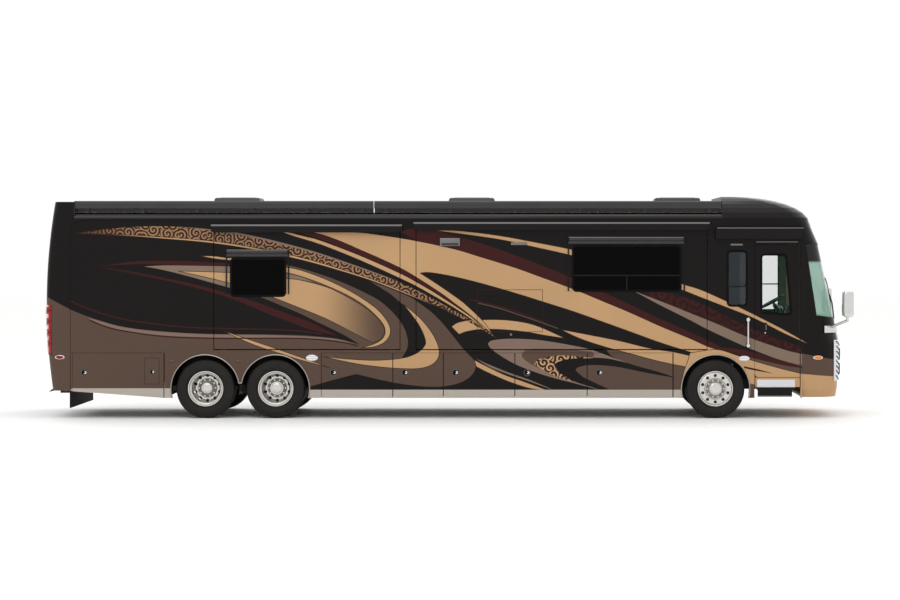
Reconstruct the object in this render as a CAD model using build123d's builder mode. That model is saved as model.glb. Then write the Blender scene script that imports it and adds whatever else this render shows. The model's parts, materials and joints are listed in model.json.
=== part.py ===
from build123d import *
import os
from math import cos, radians, sin, sqrt

# Motorhome on three axles, in millimetres: +X forward, +Y to the vehicle's left, +Z up, ground at Z = 0.
# X = 0 lies midway between the rear cap and the front of the mirrors.
# side is -1 for the right, 1 for the left.
RIGHT, LEFT = -1, 1
SIDES = {"right": RIGHT, "left": LEFT}

# Overall sizes
BODY_LENGTH = 13830
BODY_WIDTH = 2560
MIRROR_LEAD = 100
HALF_W = BODY_WIDTH / 2
REAR_X = -(BODY_LENGTH + MIRROR_LEAD) / 2
NOSE_X = REAR_X + BODY_LENGTH
MIRROR_X = NOSE_X + MIRROR_LEAD

# Clearances
SEAT_GAP = 0.3
RUN_GAP = 0.3
PART_GAP = 6.0
SLIDE_GAP = 12.0

# Heights
TYRE_R = 510
AXLE_Z = TYRE_R
SKIRT_Z = 355
FLOOR_TOP = 1180
FLOOR_THICK = 45
FLOOR_Z = FLOOR_TOP - FLOOR_THICK
RAIL_HEIGHT = 235
RAIL_Z = FLOOR_Z - RAIL_HEIGHT
ROOF_TOP = 3560
ROOF_EDGE_R = 125
WALL_TOP = ROOF_TOP - ROOF_EDGE_R
BROW_Z = 3370
BROW_H = 470
UNIT_TOP = 3830
WALL = 60
SHELL = 45

# Stations along the vehicle
REAR_CAP_DEPTH = 438
REAR_SEAM_X = REAR_X + REAR_CAP_DEPTH
ROOF_REAR_X = REAR_SEAM_X + 69
FRONT_CAP_DEPTH = 757
FRONT_SEAM_X = NOSE_X - FRONT_CAP_DEPTH
VISOR_LENGTH = 2138
VISOR_X = NOSE_X - VISOR_LENGTH
FRONT_OVERHANG = 2248
REAR_OVERHANG = 3982
TAG_SPACING = 1212
FRONT_X = NOSE_X - FRONT_OVERHANG
DRIVE_X = REAR_X + REAR_OVERHANG
TAG_X = DRIVE_X - TAG_SPACING
WHEELBASE = FRONT_X - DRIVE_X

# Wheels and tyres
TYRE_W = 284
RIM_R = 304
SEAT_R = 288
RIM_W = 236
WHEEL_Y = 1098
TWIN_SPACING = 330
ARCH_R = 582
KINGPIN_Y = 930
HAND_HOLES = 10

os.makedirs("parts", exist_ok=True)


def save(piece, name):
    piece.label = name
    export_step(piece, f"parts/{name}.step")


def wall_plane(side, inset=0.0):
    """Plane along the body side at a depth inside its outer face, with local axes X and Z."""
    return Plane.XZ.offset(-side * (HALF_W - inset))


def hub_plane(x, side, y):
    """Plane through a wheel's axis, with local x outward along the axle and local y upward."""
    return Plane(origin=(x, side * y, AXLE_Z), x_dir=(0, side, 0), z_dir=(side, 0, 0))


def face_plane(x, side, y, z=AXLE_Z):
    """Plane square to the axle at a distance from the middle, its normal pointing outward."""
    return Plane(origin=(x, side * y, z), x_dir=(1, 0, 0), z_dir=(0, side, 0))


def block(x0, x1, y0, y1, z0, z1, mode=Mode.ADD):
    """Box between two corners, added to or cut from the part being built."""
    with Locations(((x0 + x1) / 2, (y0 + y1) / 2, (z0 + z1) / 2)):
        Box(abs(x1 - x0), abs(y1 - y0), abs(z1 - z0), mode=mode)


def bar(start, end, radius, mode=Mode.ADD):
    """Round bar between two points."""
    line = Vector(*end) - Vector(*start)
    with Locations(Plane(origin=start, z_dir=line)):
        Cylinder(radius, line.length, align=(Align.CENTER, Align.CENTER, Align.MIN), mode=mode)


def mirrored(piece):
    """The same piece on the other side of the vehicle."""
    return mirror(piece, about=Plane.XZ, mode=Mode.PRIVATE)


# Slide-out rooms. A window's span is (rear, front, bottom, top)
POST = 288
BEDROOM_START = REAR_SEAM_X + 2489
BEDROOM_LENGTH = 3202
BEDROOM_END = BEDROOM_START + BEDROOM_LENGTH
LIVING_START = BEDROOM_END + POST
LIVING_END = FRONT_X - 153
LIVING_LENGTH = LIVING_END - LIVING_START
SLIDE_Z = FLOOR_TOP + 19
BEDROOM_TOP = 3236
LIVING_TOP = 3276
ROOM_DEPTH = 780
ROOM_WALL = 45
BED_WINDOW = (BEDROOM_START + 278, BEDROOM_START + 1239, 2105, 2770)
LIVING_WINDOW = (LIVING_END - 0.463 * LIVING_LENGTH, LIVING_END - 0.088 * LIVING_LENGTH, 2192, 2994)
GALLEY_WINDOW = (LIVING_START + 0.14 * LIVING_LENGTH, LIVING_START + 0.34 * LIVING_LENGTH, 2192, 2994)
# Columns: side, rear end, front end, top, windows
ROOMS = {
    "bedroom_right": (RIGHT, BEDROOM_START, BEDROOM_END, BEDROOM_TOP, (BED_WINDOW,)),
    "living_right": (RIGHT, LIVING_START, LIVING_END, LIVING_TOP, (LIVING_WINDOW,)),
    "left": (LEFT, BEDROOM_START, LIVING_END, LIVING_TOP, (BED_WINDOW, GALLEY_WINDOW, LIVING_WINDOW)),
}

# Entry door and cab windows
DOOR_FRONT_X = FRONT_SEAM_X - 30
DOOR_WIDTH = 784
DOOR_REAR_X = DOOR_FRONT_X - DOOR_WIDTH
DOOR_Z = 714
DOOR_TOP = 2998
DOOR_THICK = 52
DOOR_HINGE_R = 10
PASSENGER_WINDOW = (DOOR_REAR_X - 481, DOOR_REAR_X - 131, 1937, 2903)
DRIVER_WINDOW = (DOOR_REAR_X - 60, DOOR_FRONT_X - 90, 1790, 2880)

# Baggage bays between the axles, rear to front, as shares of their whole run up to the front wheel arch
BAY_START = DRIVE_X + ARCH_R + 215
BAY_END = FRONT_X - ARCH_R - 151
BAY_SHARES = (0.0, 0.2036, 0.3473, 0.5506, 0.7562, 1.0)
BAY_SEAMS = [BAY_START + share * (BAY_END - BAY_START) for share in BAY_SHARES]
REAR_BAY_X = (REAR_SEAM_X + 40, TAG_X - ARCH_R - 123)
REAR_SKIRT_RISE = 115
BAY_DOOR_THICK = 50
BAY_DOOR_TOP = FLOOR_Z - PART_GAP
BAY_PIN_R = 6
BAY_PIN_DEPTH = 22
HINGE_R = 9


# Chassis frame: two rails, cross members and a rear drop beam, with the hitch receiver under it
RAIL_Y = 430
RAIL_W = 80
FRAME_REAR_X = REAR_X + 300
FRAME_FRONT_X = NOSE_X - 420
CROSS_W = 90
BEAM_Z = 480
BEAM_H = 110
HITCH_Z = 395
HITCH_OUTER = 64
HITCH_INNER = 51
HITCH_PIN_R = 8.2
HITCH_REAR_X = REAR_X + 20
HITCH_PIN_X = HITCH_REAR_X + 90
CROSS_X = [TAG_X + 520, DRIVE_X + 700, BAY_SEAMS[2], BAY_SEAMS[4], FRONT_X - 700, FRONT_X + 560,
           FRAME_FRONT_X - 45]
with BuildPart() as chassis_frame:
    for side in SIDES.values():
        y0, y1 = side * (RAIL_Y - RAIL_W / 2), side * (RAIL_Y + RAIL_W / 2)
        block(FRAME_REAR_X, FRAME_FRONT_X, y0, y1, RAIL_Z, FLOOR_Z)
        block(FRAME_REAR_X, FRAME_REAR_X + CROSS_W, y0, y1, BEAM_Z, RAIL_Z)
    for x in CROSS_X:
        block(x - CROSS_W / 2, x + CROSS_W / 2, -RAIL_Y, RAIL_Y, RAIL_Z, RAIL_Z + 130)
    block(FRAME_REAR_X, FRAME_REAR_X + CROSS_W, -1080, 1080, BEAM_Z, BEAM_Z + BEAM_H)
save(chassis_frame.part, "chassis_frame")
with BuildPart() as hitch_receiver:
    hitch_half = HITCH_OUTER / 2
    block(HITCH_REAR_X, FRAME_REAR_X + CROSS_W, -hitch_half, hitch_half,
          HITCH_Z - hitch_half, HITCH_Z + hitch_half)
    block(FRAME_REAR_X, FRAME_REAR_X + CROSS_W, -hitch_half, hitch_half, HITCH_Z, BEAM_Z)
    bore_half = HITCH_INNER / 2
    block(HITCH_REAR_X - 1, FRAME_REAR_X, -bore_half, bore_half, HITCH_Z - bore_half, HITCH_Z + bore_half,
          mode=Mode.SUBTRACT)
    bar((HITCH_PIN_X, -hitch_half - 1, HITCH_Z), (HITCH_PIN_X, hitch_half + 1, HITCH_Z),
        HITCH_PIN_R, Mode.SUBTRACT)
save(hitch_receiver.part, "hitch_receiver")


# Engine and gearbox as one plain block between the rails
ENGINE_REAR_X = REAR_X + 560
ENGINE_LENGTH = 1250
ENGINE_Z = 560
ENGINE_TOP = 1520
GEARBOX_LENGTH = 620
ENGINE_HALF_W = RAIL_Y - RAIL_W / 2 - SEAT_GAP
GEARBOX_X = ENGINE_REAR_X + ENGINE_LENGTH + GEARBOX_LENGTH
with BuildPart() as engine:
    block(ENGINE_REAR_X, ENGINE_REAR_X + ENGINE_LENGTH, -ENGINE_HALF_W, ENGINE_HALF_W, ENGINE_Z, ENGINE_TOP)
    block(ENGINE_REAR_X + ENGINE_LENGTH, GEARBOX_X, -240, 240, ENGINE_Z + 40, ENGINE_Z + 440)
save(engine.part, "engine")


# Axles: dropped front beam with kingpin eyes, drive axle with its shaft to the gearbox, dropped tag beam
EYE_R = 50
PIN_R = 25
SPINDLE_R = 42
DRIVE_SPINDLE_R = 60
BEAM_TOP = 545
SHAFT_Z = 790
with BuildPart() as axles:
    block(FRONT_X - 50, FRONT_X + 50, -KINGPIN_Y + 60, KINGPIN_Y - 60, BEAM_TOP - 115, BEAM_TOP)
    for side in SIDES.values():
        eye_y = side * KINGPIN_Y
        block(FRONT_X - 45, FRONT_X + 45, side * (KINGPIN_Y - 70), eye_y, AXLE_Z - 70, AXLE_Z + 70)
        bar((FRONT_X, eye_y, AXLE_Z - 70), (FRONT_X, eye_y, AXLE_Z + 70), EYE_R)
        bar((FRONT_X, eye_y, AXLE_Z - 71), (FRONT_X, eye_y, AXLE_Z + 71), PIN_R + RUN_GAP, Mode.SUBTRACT)
    bar((DRIVE_X, -720, AXLE_Z), (DRIVE_X, 720, AXLE_Z), 78)
    bar((DRIVE_X, -990, AXLE_Z), (DRIVE_X, 990, AXLE_Z), DRIVE_SPINDLE_R)
    with Locations((DRIVE_X, 0, AXLE_Z)):
        Sphere(215)
    bar((GEARBOX_X + SEAT_GAP, 0, SHAFT_Z), (GEARBOX_X + 60, 0, SHAFT_Z), 70)
    bar((GEARBOX_X + 30, 0, SHAFT_Z), (DRIVE_X - 80, 0, AXLE_Z + 120), 45)
    block(TAG_X - 55, TAG_X + 55, -720, 720, AXLE_Z - 110, AXLE_Z + 10)
    for side in SIDES.values():
        block(TAG_X - 55, TAG_X + 55, side * 560, side * 720, AXLE_Z - 110, AXLE_Z + 78)
    bar((TAG_X, -990, AXLE_Z), (TAG_X, -700, AXLE_Z), DRIVE_SPINDLE_R)
    bar((TAG_X, 700, AXLE_Z), (TAG_X, 990, AXLE_Z), DRIVE_SPINDLE_R)
save(axles.part, "axles")


# Air springs between the axles and the frame rails
SPRING_R = 118
SPRING_SEATS = {FRONT_X: BEAM_TOP, DRIVE_X: AXLE_Z + 78, TAG_X: AXLE_Z + 10}
with BuildPart() as air_springs:
    for x, seat_z in SPRING_SEATS.items():
        for side in SIDES.values():
            y = side * RAIL_Y
            bar((x, y, seat_z), (x, y, RAIL_Z), 55)
            bar((x, y, seat_z + 70), (x, y, RAIL_Z - 25), SPRING_R)
save(air_springs.part, "air_springs")


# Steering knuckles: two ears and a pin round the beam's eye, and the wheel's spindle
for name, side in SIDES.items():
    eye_y = side * KINGPIN_Y
    with BuildPart() as knuckle:
        bar((FRONT_X, eye_y, AXLE_Z - 112), (FRONT_X, eye_y, AXLE_Z + 112), PIN_R)
        for low, high in ((-112, -76), (76, 112)):
            bar((FRONT_X, eye_y, AXLE_Z + low), (FRONT_X, eye_y, AXLE_Z + high), EYE_R)
            block(FRONT_X - 50, FRONT_X + 50, eye_y, side * (KINGPIN_Y + 90), AXLE_Z + low, AXLE_Z + high)
        block(FRONT_X - 50, FRONT_X + 50, side * (KINGPIN_Y + 58), side * (KINGPIN_Y + 90),
              AXLE_Z - 112, AXLE_Z + 112)
        bar((FRONT_X, side * (KINGPIN_Y + 80), AXLE_Z),
            (FRONT_X, side * (KINGPIN_Y + 255), AXLE_Z), SPINDLE_R)
    save(knuckle.part, f"knuckle_{name}")


# Wheels: rim ring, disc and hub turned about the axle.
# disc holds (axial place, radius) pairs of the disc's outline
LUG_CIRCLE_R = 143
LUG_R = 15
half_rim = RIM_W / 2
RIM_OUTLINE = [(-half_rim, RIM_R), (-half_rim + 12, RIM_R), (-half_rim + 12, SEAT_R), (-60, SEAT_R - 2),
               (-45, 262), (45, 262), (60, SEAT_R - 2), (half_rim - 12, SEAT_R), (half_rim - 12, RIM_R),
               (half_rim, RIM_R), (half_rim, 290), (half_rim - 10, 278), (62, 276), (48, 252), (-48, 252),
               (-62, 276), (-half_rim + 10, 278), (-half_rim, 290)]
FRONT_DISC = [(84, 281), (100, 281), (108, 262), (108, 190), (122, 178), (122, 112), (150, 105), (158, 80),
              (160, 0), (90, 0), (90, 262)]
DISH_DISC = [(-62, 281), (-40, 262), (-118, 234), (-148, 205), (-152, 112), (-80, 105), (-38, 92), (-30, 60),
             (-28, 0), (-60, 0), (-60, 82), (-164, 90), (-164, 200), (-130, 240)]
HAND_HOLE_R = 27


def rim(x, side, y, disc, hand_r):
    """One rim with its disc, with hand holes through the disc."""
    axis = Axis((x, side * y, AXLE_Z), (0, 1, 0))
    with BuildPart() as one:
        with BuildSketch(hub_plane(x, side, y)):
            Polygon(*RIM_OUTLINE, align=None)
        revolve(axis=axis)
        with BuildSketch(hub_plane(x, side, y)):
            Polygon(*disc, align=None)
        revolve(axis=axis)
        with BuildSketch(face_plane(x, side, y + 200)):
            with PolarLocations(hand_r, HAND_HOLES, start_angle=18):
                Circle(HAND_HOLE_R)
        extrude(amount=-400, mode=Mode.SUBTRACT)
    return one.part


def ring(x, side, y0, y1, outer_r, inner_r):
    """Sleeve about the axle between two distances from the middle."""
    with BuildPart() as sleeve:
        with BuildSketch(face_plane(x, side, y0)):
            Circle(outer_r)
            Circle(inner_r, mode=Mode.SUBTRACT)
        extrude(amount=y1 - y0)
    return sleeve.part


def lugs(x, side, y0, y1):
    """Ring of wheel nuts."""
    with BuildPart() as nuts:
        with BuildSketch(face_plane(x, side, y0)):
            with PolarLocations(LUG_CIRCLE_R, HAND_HOLES):
                RegularPolygon(LUG_R, 6)
        extrude(amount=y1 - y0)
    return nuts.part


INNER_DISC = [(62, 281), (40, 262), (118, 234), (148, 205), (152, 112), (166, 112), (166, 200), (130, 240)]
INNER_Y = WHEEL_Y - TWIN_SPACING
with BuildPart() as front_wheel:
    add(rim(FRONT_X, RIGHT, WHEEL_Y, FRONT_DISC, 228))
    add(lugs(FRONT_X, RIGHT, WHEEL_Y + 110, WHEEL_Y + 150))
    add(ring(FRONT_X, RIGHT, WHEEL_Y - 60, WHEEL_Y + 100, 105, SPINDLE_R + RUN_GAP))
    bar((FRONT_X, -WHEEL_Y + 61, AXLE_Z), (FRONT_X, -KINGPIN_Y - 260, AXLE_Z),
        SPINDLE_R + RUN_GAP, Mode.SUBTRACT)
with BuildPart() as tag_wheel:
    add(rim(TAG_X, RIGHT, WHEEL_Y, DISH_DISC, 214))
    add(lugs(TAG_X, RIGHT, WHEEL_Y - 160, WHEEL_Y - 112))
    add(ring(TAG_X, RIGHT, 760, WHEEL_Y - 60, 88, DRIVE_SPINDLE_R + RUN_GAP))
    bar((TAG_X, -759, AXLE_Z), (TAG_X, -996, AXLE_Z), DRIVE_SPINDLE_R + RUN_GAP, Mode.SUBTRACT)
with BuildPart() as drive_wheels:
    add(rim(DRIVE_X, RIGHT, WHEEL_Y, DISH_DISC, 214))
    add(rim(DRIVE_X, RIGHT, INNER_Y, INNER_DISC, 214))
    add(lugs(DRIVE_X, RIGHT, WHEEL_Y - 170, WHEEL_Y - 112))
    add(ring(DRIVE_X, RIGHT, 760, WHEEL_Y - 60, 115, DRIVE_SPINDLE_R + RUN_GAP))
    bar((DRIVE_X, -759, AXLE_Z), (DRIVE_X, -996, AXLE_Z), DRIVE_SPINDLE_R + RUN_GAP, Mode.SUBTRACT)
for name, wheel in (("front_wheel", front_wheel), ("tag_wheel", tag_wheel), ("drive_wheels", drive_wheels)):
    save(wheel.part, f"{name}_right")
    save(mirrored(wheel.part), f"{name}_left")


def tyre(x, side, y):
    """One tyre as an open carcass with rounded shoulders."""
    half = TYRE_W / 2
    bead = half_rim - 12.5
    with BuildPart() as one:
        with BuildSketch(hub_plane(x, side, y)):
            with BuildLine():
                Polyline((bead - 22, SEAT_R + 0.5), (bead, SEAT_R + 0.5), (bead, RIM_R + 6))
                ThreePointArc((bead, RIM_R + 6), (half, 400), (half - 12, 478))
                ThreePointArc((half - 12, 478), (half - 20, 497), (half - 40, TYRE_R - 4))
                ThreePointArc((half - 40, TYRE_R - 4), (0, TYRE_R), (40 - half, TYRE_R - 4))
                ThreePointArc((40 - half, TYRE_R - 4), (20 - half, 497), (12 - half, 478))
                ThreePointArc((12 - half, 478), (-half, 400), (-bead, RIM_R + 6))
                Polyline((-bead, RIM_R + 6), (-bead, SEAT_R + 0.5), (22 - bead, SEAT_R + 0.5),
                         (22 - bead, RIM_R + 20))
                Polyline((22 - bead, RIM_R + 20), (20 - half, 400), (34 - half, 476), (half - 34, 476),
                         (half - 20, 400))
                Polyline((half - 20, 400), (bead - 22, RIM_R + 20), (bead - 22, SEAT_R + 0.5))
            make_face()
        revolve(axis=Axis((x, side * y, AXLE_Z), (0, 1, 0)))
    return one.part


with BuildPart() as twin_tyres:
    add(tyre(DRIVE_X, RIGHT, WHEEL_Y))
    add(tyre(DRIVE_X, RIGHT, INNER_Y))
for name, rubber in (("front_tyre", tyre(FRONT_X, RIGHT, WHEEL_Y)), ("tag_tyre", tyre(TAG_X, RIGHT, WHEEL_Y)),
                     ("drive_tyres", twin_tyres.part)):
    save(rubber, f"{name}_right")
    save(mirrored(rubber), f"{name}_left")


# Coach floor with the entry stairwell, an opening over the engine and pivot holes for the bay doors
STAIR_DEPTH = 700
STAIR_X = (DOOR_REAR_X + 8, DOOR_FRONT_X - 8)
STAIR_PLATE = 20
STAIR_Z = DOOR_Z - 8
RISER_Z = SKIRT_Z + 190


def bay_pivot(x_front, side):
    """Place of a bay door's pivot in plan."""
    return x_front - PART_GAP / 2 - HINGE_R, side * (HALF_W - HINGE_R)


# Columns: side, rear edge, front edge
BAY_DOORS = {"bay_door_right_rear": (RIGHT, *REAR_BAY_X)}
for name, side in SIDES.items():
    for n in range(len(BAY_SEAMS) - 1):
        BAY_DOORS[f"bay_door_{name}_{n + 1}"] = (side, BAY_SEAMS[n], BAY_SEAMS[n + 1])
with BuildPart() as coach_floor:
    block(REAR_SEAM_X, FRONT_SEAM_X, -HALF_W, HALF_W, FLOOR_Z, FLOOR_TOP)
    block(ENGINE_REAR_X - 40, ENGINE_REAR_X + ENGINE_LENGTH + 40, -ENGINE_HALF_W - 35, ENGINE_HALF_W + 35,
          FLOOR_Z, FLOOR_TOP, mode=Mode.SUBTRACT)
    block(DOOR_REAR_X, DOOR_FRONT_X, -HALF_W, -HALF_W + STAIR_DEPTH, FLOOR_Z, FLOOR_TOP, mode=Mode.SUBTRACT)
    block(DOOR_REAR_X - PART_GAP, DOOR_FRONT_X + PART_GAP, -HALF_W, -HALF_W + WALL, FLOOR_Z, FLOOR_TOP,
          mode=Mode.SUBTRACT)
    block(DOOR_REAR_X - STAIR_PLATE, DOOR_FRONT_X + STAIR_PLATE, -HALF_W + WALL + 2,
          -HALF_W + STAIR_DEPTH + STAIR_PLATE, STAIR_Z - STAIR_PLATE, FLOOR_Z)
    block(DOOR_REAR_X, DOOR_FRONT_X, -HALF_W + WALL, -HALF_W + STAIR_DEPTH, STAIR_Z, FLOOR_TOP,
          mode=Mode.SUBTRACT)
    block(DOOR_REAR_X, DOOR_FRONT_X, -HALF_W + 420, -HALF_W + STAIR_DEPTH, STAIR_Z, STAIR_Z + 235)
    block(*STAIR_X, -HALF_W + 6, -HALF_W + WALL + 60, STAIR_Z - STAIR_PLATE, STAIR_Z)
    block(*STAIR_X, -HALF_W + 6, -HALF_W + 26, RISER_Z, STAIR_Z)
    for side, _, x_front in BAY_DOORS.values():
        pivot_x, pivot_y = bay_pivot(x_front, side)
        bar((pivot_x, pivot_y, FLOOR_Z), (pivot_x, pivot_y, FLOOR_Z + BAY_PIN_DEPTH),
            BAY_PIN_R + RUN_GAP, Mode.SUBTRACT)
save(coach_floor.part, "coach_floor")


# Basement: floor pan and bulkheads of the baggage bays, hung from the frame rails
PAN_Z = SKIRT_Z + 30
PAN_THICK = 20
BULKHEAD = 24
BAY_INSET = BAY_DOOR_THICK + 12
with BuildPart() as basement:
    bay_y = HALF_W - BAY_INSET
    block(BAY_SEAMS[0], BAY_SEAMS[-1], -bay_y, bay_y, PAN_Z, PAN_Z + PAN_THICK)
    for x in BAY_SEAMS:
        inward = min(max(x, BAY_SEAMS[0] + BULKHEAD / 2), BAY_SEAMS[-1] - BULKHEAD / 2)
        block(inward - BULKHEAD / 2, inward + BULKHEAD / 2, -bay_y, bay_y, PAN_Z, RAIL_Z)
save(basement.part, "basement")


# Baggage bay doors, pivoted at their front edges
for name, (side, x_rear, x_front) in BAY_DOORS.items():
    pivot_x, pivot_y = bay_pivot(x_front, side)
    x0, x1 = x_rear + PART_GAP / 2, x_front - PART_GAP / 2
    rise = REAR_SKIRT_RISE if name.endswith("rear") else 0
    with BuildPart() as bay_door:
        with BuildSketch(wall_plane(side, BAY_DOOR_THICK)):
            Polygon((x0, SKIRT_Z + rise), (x1, SKIRT_Z), (x1, BAY_DOOR_TOP), (x0, BAY_DOOR_TOP), align=None)
        extrude(amount=-side * BAY_DOOR_THICK)
        outer = bay_door.edges().filter_by(Axis.Z).sort_by(Axis.X)[-2:].sort_by(Axis.Y)
        fillet(outer[0 if side == RIGHT else -1], HINGE_R)
        bar((pivot_x, pivot_y, BAY_DOOR_TOP - 20), (pivot_x, pivot_y, FLOOR_Z + BAY_PIN_DEPTH - 2), BAY_PIN_R)
    save(bay_door.part, name)


# Fixed skirt panels round the wheel arches, and the louvred radiator panel at the left rear
SKIRT_THICK = 40
ARCH_BASE = 40
LOUVRE_COUNT = 9
LOUVRE_H = 26
TAIL_PANELS = (REAR_SEAM_X, REAR_BAY_X[1])
with BuildPart() as skirt_panels:
    for side in SIDES.values():
        front_end = DOOR_REAR_X - PART_GAP if side == RIGHT else FRONT_SEAM_X
        with BuildSketch(wall_plane(side, SKIRT_THICK)):
            with BuildLine():
                Polyline((REAR_BAY_X[1] + PART_GAP, SKIRT_Z), (BAY_SEAMS[0] - PART_GAP, SKIRT_Z),
                         (BAY_SEAMS[0] - PART_GAP, FLOOR_Z), (REAR_BAY_X[1] + PART_GAP, FLOOR_Z), close=True)
            make_face()
            with BuildLine():
                Polyline((BAY_SEAMS[-1] + PART_GAP, SKIRT_Z), (front_end, SKIRT_Z), (front_end, FLOOR_Z),
                         (BAY_SEAMS[-1] + PART_GAP, FLOOR_Z), close=True)
            make_face()
            for x in (TAG_X, DRIVE_X, FRONT_X):
                with Locations((x, AXLE_Z)):
                    Circle(ARCH_R, mode=Mode.SUBTRACT)
                with Locations((x, AXLE_Z - ARCH_R / 2)):
                    Rectangle(2 * ARCH_R - ARCH_BASE, ARCH_R, mode=Mode.SUBTRACT)
            with Locations(((TAG_X + DRIVE_X) / 2, SKIRT_Z + 50)):
                Rectangle(TAG_SPACING, 400, mode=Mode.SUBTRACT)
            if side == LEFT:
                with Locations(((TAIL_PANELS[0] + TAIL_PANELS[1]) / 2, (BEAM_Z + FLOOR_Z) / 2)):
                    Rectangle(TAIL_PANELS[1] - TAIL_PANELS[0], FLOOR_Z - BEAM_Z)
                    with GridLocations(0, 2 * LOUVRE_H, 1, LOUVRE_COUNT):
                        Rectangle(TAIL_PANELS[1] - TAIL_PANELS[0] - 240, LOUVRE_H, mode=Mode.SUBTRACT)
        extrude(amount=-side * SKIRT_THICK)
    block(REAR_SEAM_X, REAR_BAY_X[0] - PART_GAP / 2, -HALF_W, -HALF_W + SKIRT_THICK, BEAM_Z, FLOOR_Z)
    block(DOOR_FRONT_X + PART_GAP, FRONT_SEAM_X, -HALF_W, -HALF_W + WALL - 4, SKIRT_Z, FLOOR_Z)
save(skirt_panels.part, "skirt_panels")


# Side walls from the floor to the roof edge
def window_hole(span, radius, grow=0.0):
    """Rounded window outline in the current sketch, cut from it or filled, grown on every side."""
    x0, x1, z0, z1 = span
    with Locations(((x0 + x1) / 2, (z0 + z1) / 2)):
        RectangleRounded(x1 - x0 + 2 * grow, z1 - z0 + 2 * grow, radius + grow)


WINDOW_R = 75
WALL_NOTCH = (420, 190)
DOOR_CORNER_R = 60
DOOR_PIN_R = 8
DOOR_PIVOT = (DOOR_FRONT_X - DOOR_HINGE_R, -HALF_W + DOOR_HINGE_R)
for name, side in SIDES.items():
    with BuildPart() as side_wall:
        with BuildSketch(wall_plane(side, WALL)):
            with BuildLine():
                Polyline((REAR_SEAM_X, FLOOR_TOP), (FRONT_SEAM_X, FLOOR_TOP),
                         (FRONT_SEAM_X, WALL_TOP - WALL_NOTCH[1]),
                         (FRONT_SEAM_X - WALL_NOTCH[0], WALL_TOP), (REAR_SEAM_X, WALL_TOP), close=True)
            make_face()
        extrude(amount=-side * WALL)
        with BuildSketch(wall_plane(side, WALL)):
            for room_side, x0, x1, top, _ in ROOMS.values():
                if room_side == side:
                    with Locations(((x0 + x1) / 2, (FLOOR_TOP - 10 + top + SLIDE_GAP) / 2)):
                        Rectangle(x1 - x0 + 2 * SLIDE_GAP, top + SLIDE_GAP - FLOOR_TOP + 10)
            window_hole(PASSENGER_WINDOW if side == RIGHT else DRIVER_WINDOW, WINDOW_R)
            if side == RIGHT:
                window_hole((DOOR_REAR_X - PART_GAP, DOOR_FRONT_X + PART_GAP, 900, DOOR_TOP + PART_GAP),
                            DOOR_CORNER_R)
                with Locations((DOOR_FRONT_X + PART_GAP - 100, DOOR_TOP + PART_GAP - 100)):
                    Rectangle(200, 200)
        extrude(amount=-side * WALL, mode=Mode.SUBTRACT)
        if side == RIGHT:
            top = DOOR_TOP + PART_GAP
            bar((*DOOR_PIVOT, top - 20), (*DOOR_PIVOT, top + 32), DOOR_PIN_R + RUN_GAP, Mode.SUBTRACT)
    save(side_wall.part, f"side_wall_{name}")


# Fixed cab windows beside the driver and the passenger
GLASS = 14
GLASS_PROUD = 4
with BuildPart() as cab_windows:
    for side, span in ((RIGHT, PASSENGER_WINDOW), (LEFT, DRIVER_WINDOW)):
        with BuildSketch(wall_plane(side, GLASS - GLASS_PROUD)):
            window_hole(span, WINDOW_R, -SEAT_GAP)
        extrude(amount=-side * GLASS)
save(cab_windows.part, "cab_windows")


# Slide-out rooms, open toward the coach, with glide strips below and the topper case above
STRIP_W = 90
TOPPER_Y = (7, 92)
TOPPER_H = 122
TOPPER_FLANGE = 15
TOPPER_OVERHANG = 44
for name, (side, x0, x1, top, windows) in ROOMS.items():
    face_y = side * HALF_W
    inner_y = side * (HALF_W - ROOM_DEPTH)
    with BuildPart() as room:
        block(x0, x1, inner_y, face_y, SLIDE_Z, top)
        block(x0 + ROOM_WALL, x1 - ROOM_WALL, inner_y - side * 1, face_y - side * WALL, SLIDE_Z + ROOM_WALL,
              top - ROOM_WALL, mode=Mode.SUBTRACT)
        strips = max(3, round((x1 - x0) / 1400))
        for n in range(strips):
            x = x0 + 150 + n * (x1 - x0 - 300) / (strips - 1)
            block(x - STRIP_W / 2, x + STRIP_W / 2, inner_y, face_y - side * 12, FLOOR_TOP + RUN_GAP, SLIDE_Z)
        block(x0 + 10, x1 - 10, face_y, face_y + side * TOPPER_Y[1], top - 10 - TOPPER_FLANGE, top - 10)
        block(x0 - TOPPER_OVERHANG, x1 + TOPPER_OVERHANG, face_y + side * TOPPER_Y[0],
              face_y + side * TOPPER_Y[1], top - 10, top - 10 + TOPPER_H)
        with BuildSketch(wall_plane(side, WALL)):
            for span in windows:
                window_hole(span, WINDOW_R)
        extrude(amount=-side * WALL, mode=Mode.SUBTRACT)
    save(room.part, f"slideout_{name}")
    with BuildPart() as panes:
        with BuildSketch(wall_plane(side, GLASS - GLASS_PROUD)):
            for span in windows:
                window_hole(span, WINDOW_R, -SEAT_GAP)
        extrude(amount=-side * GLASS)
    save(panes.part, f"slideout_{name}_glass")


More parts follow.
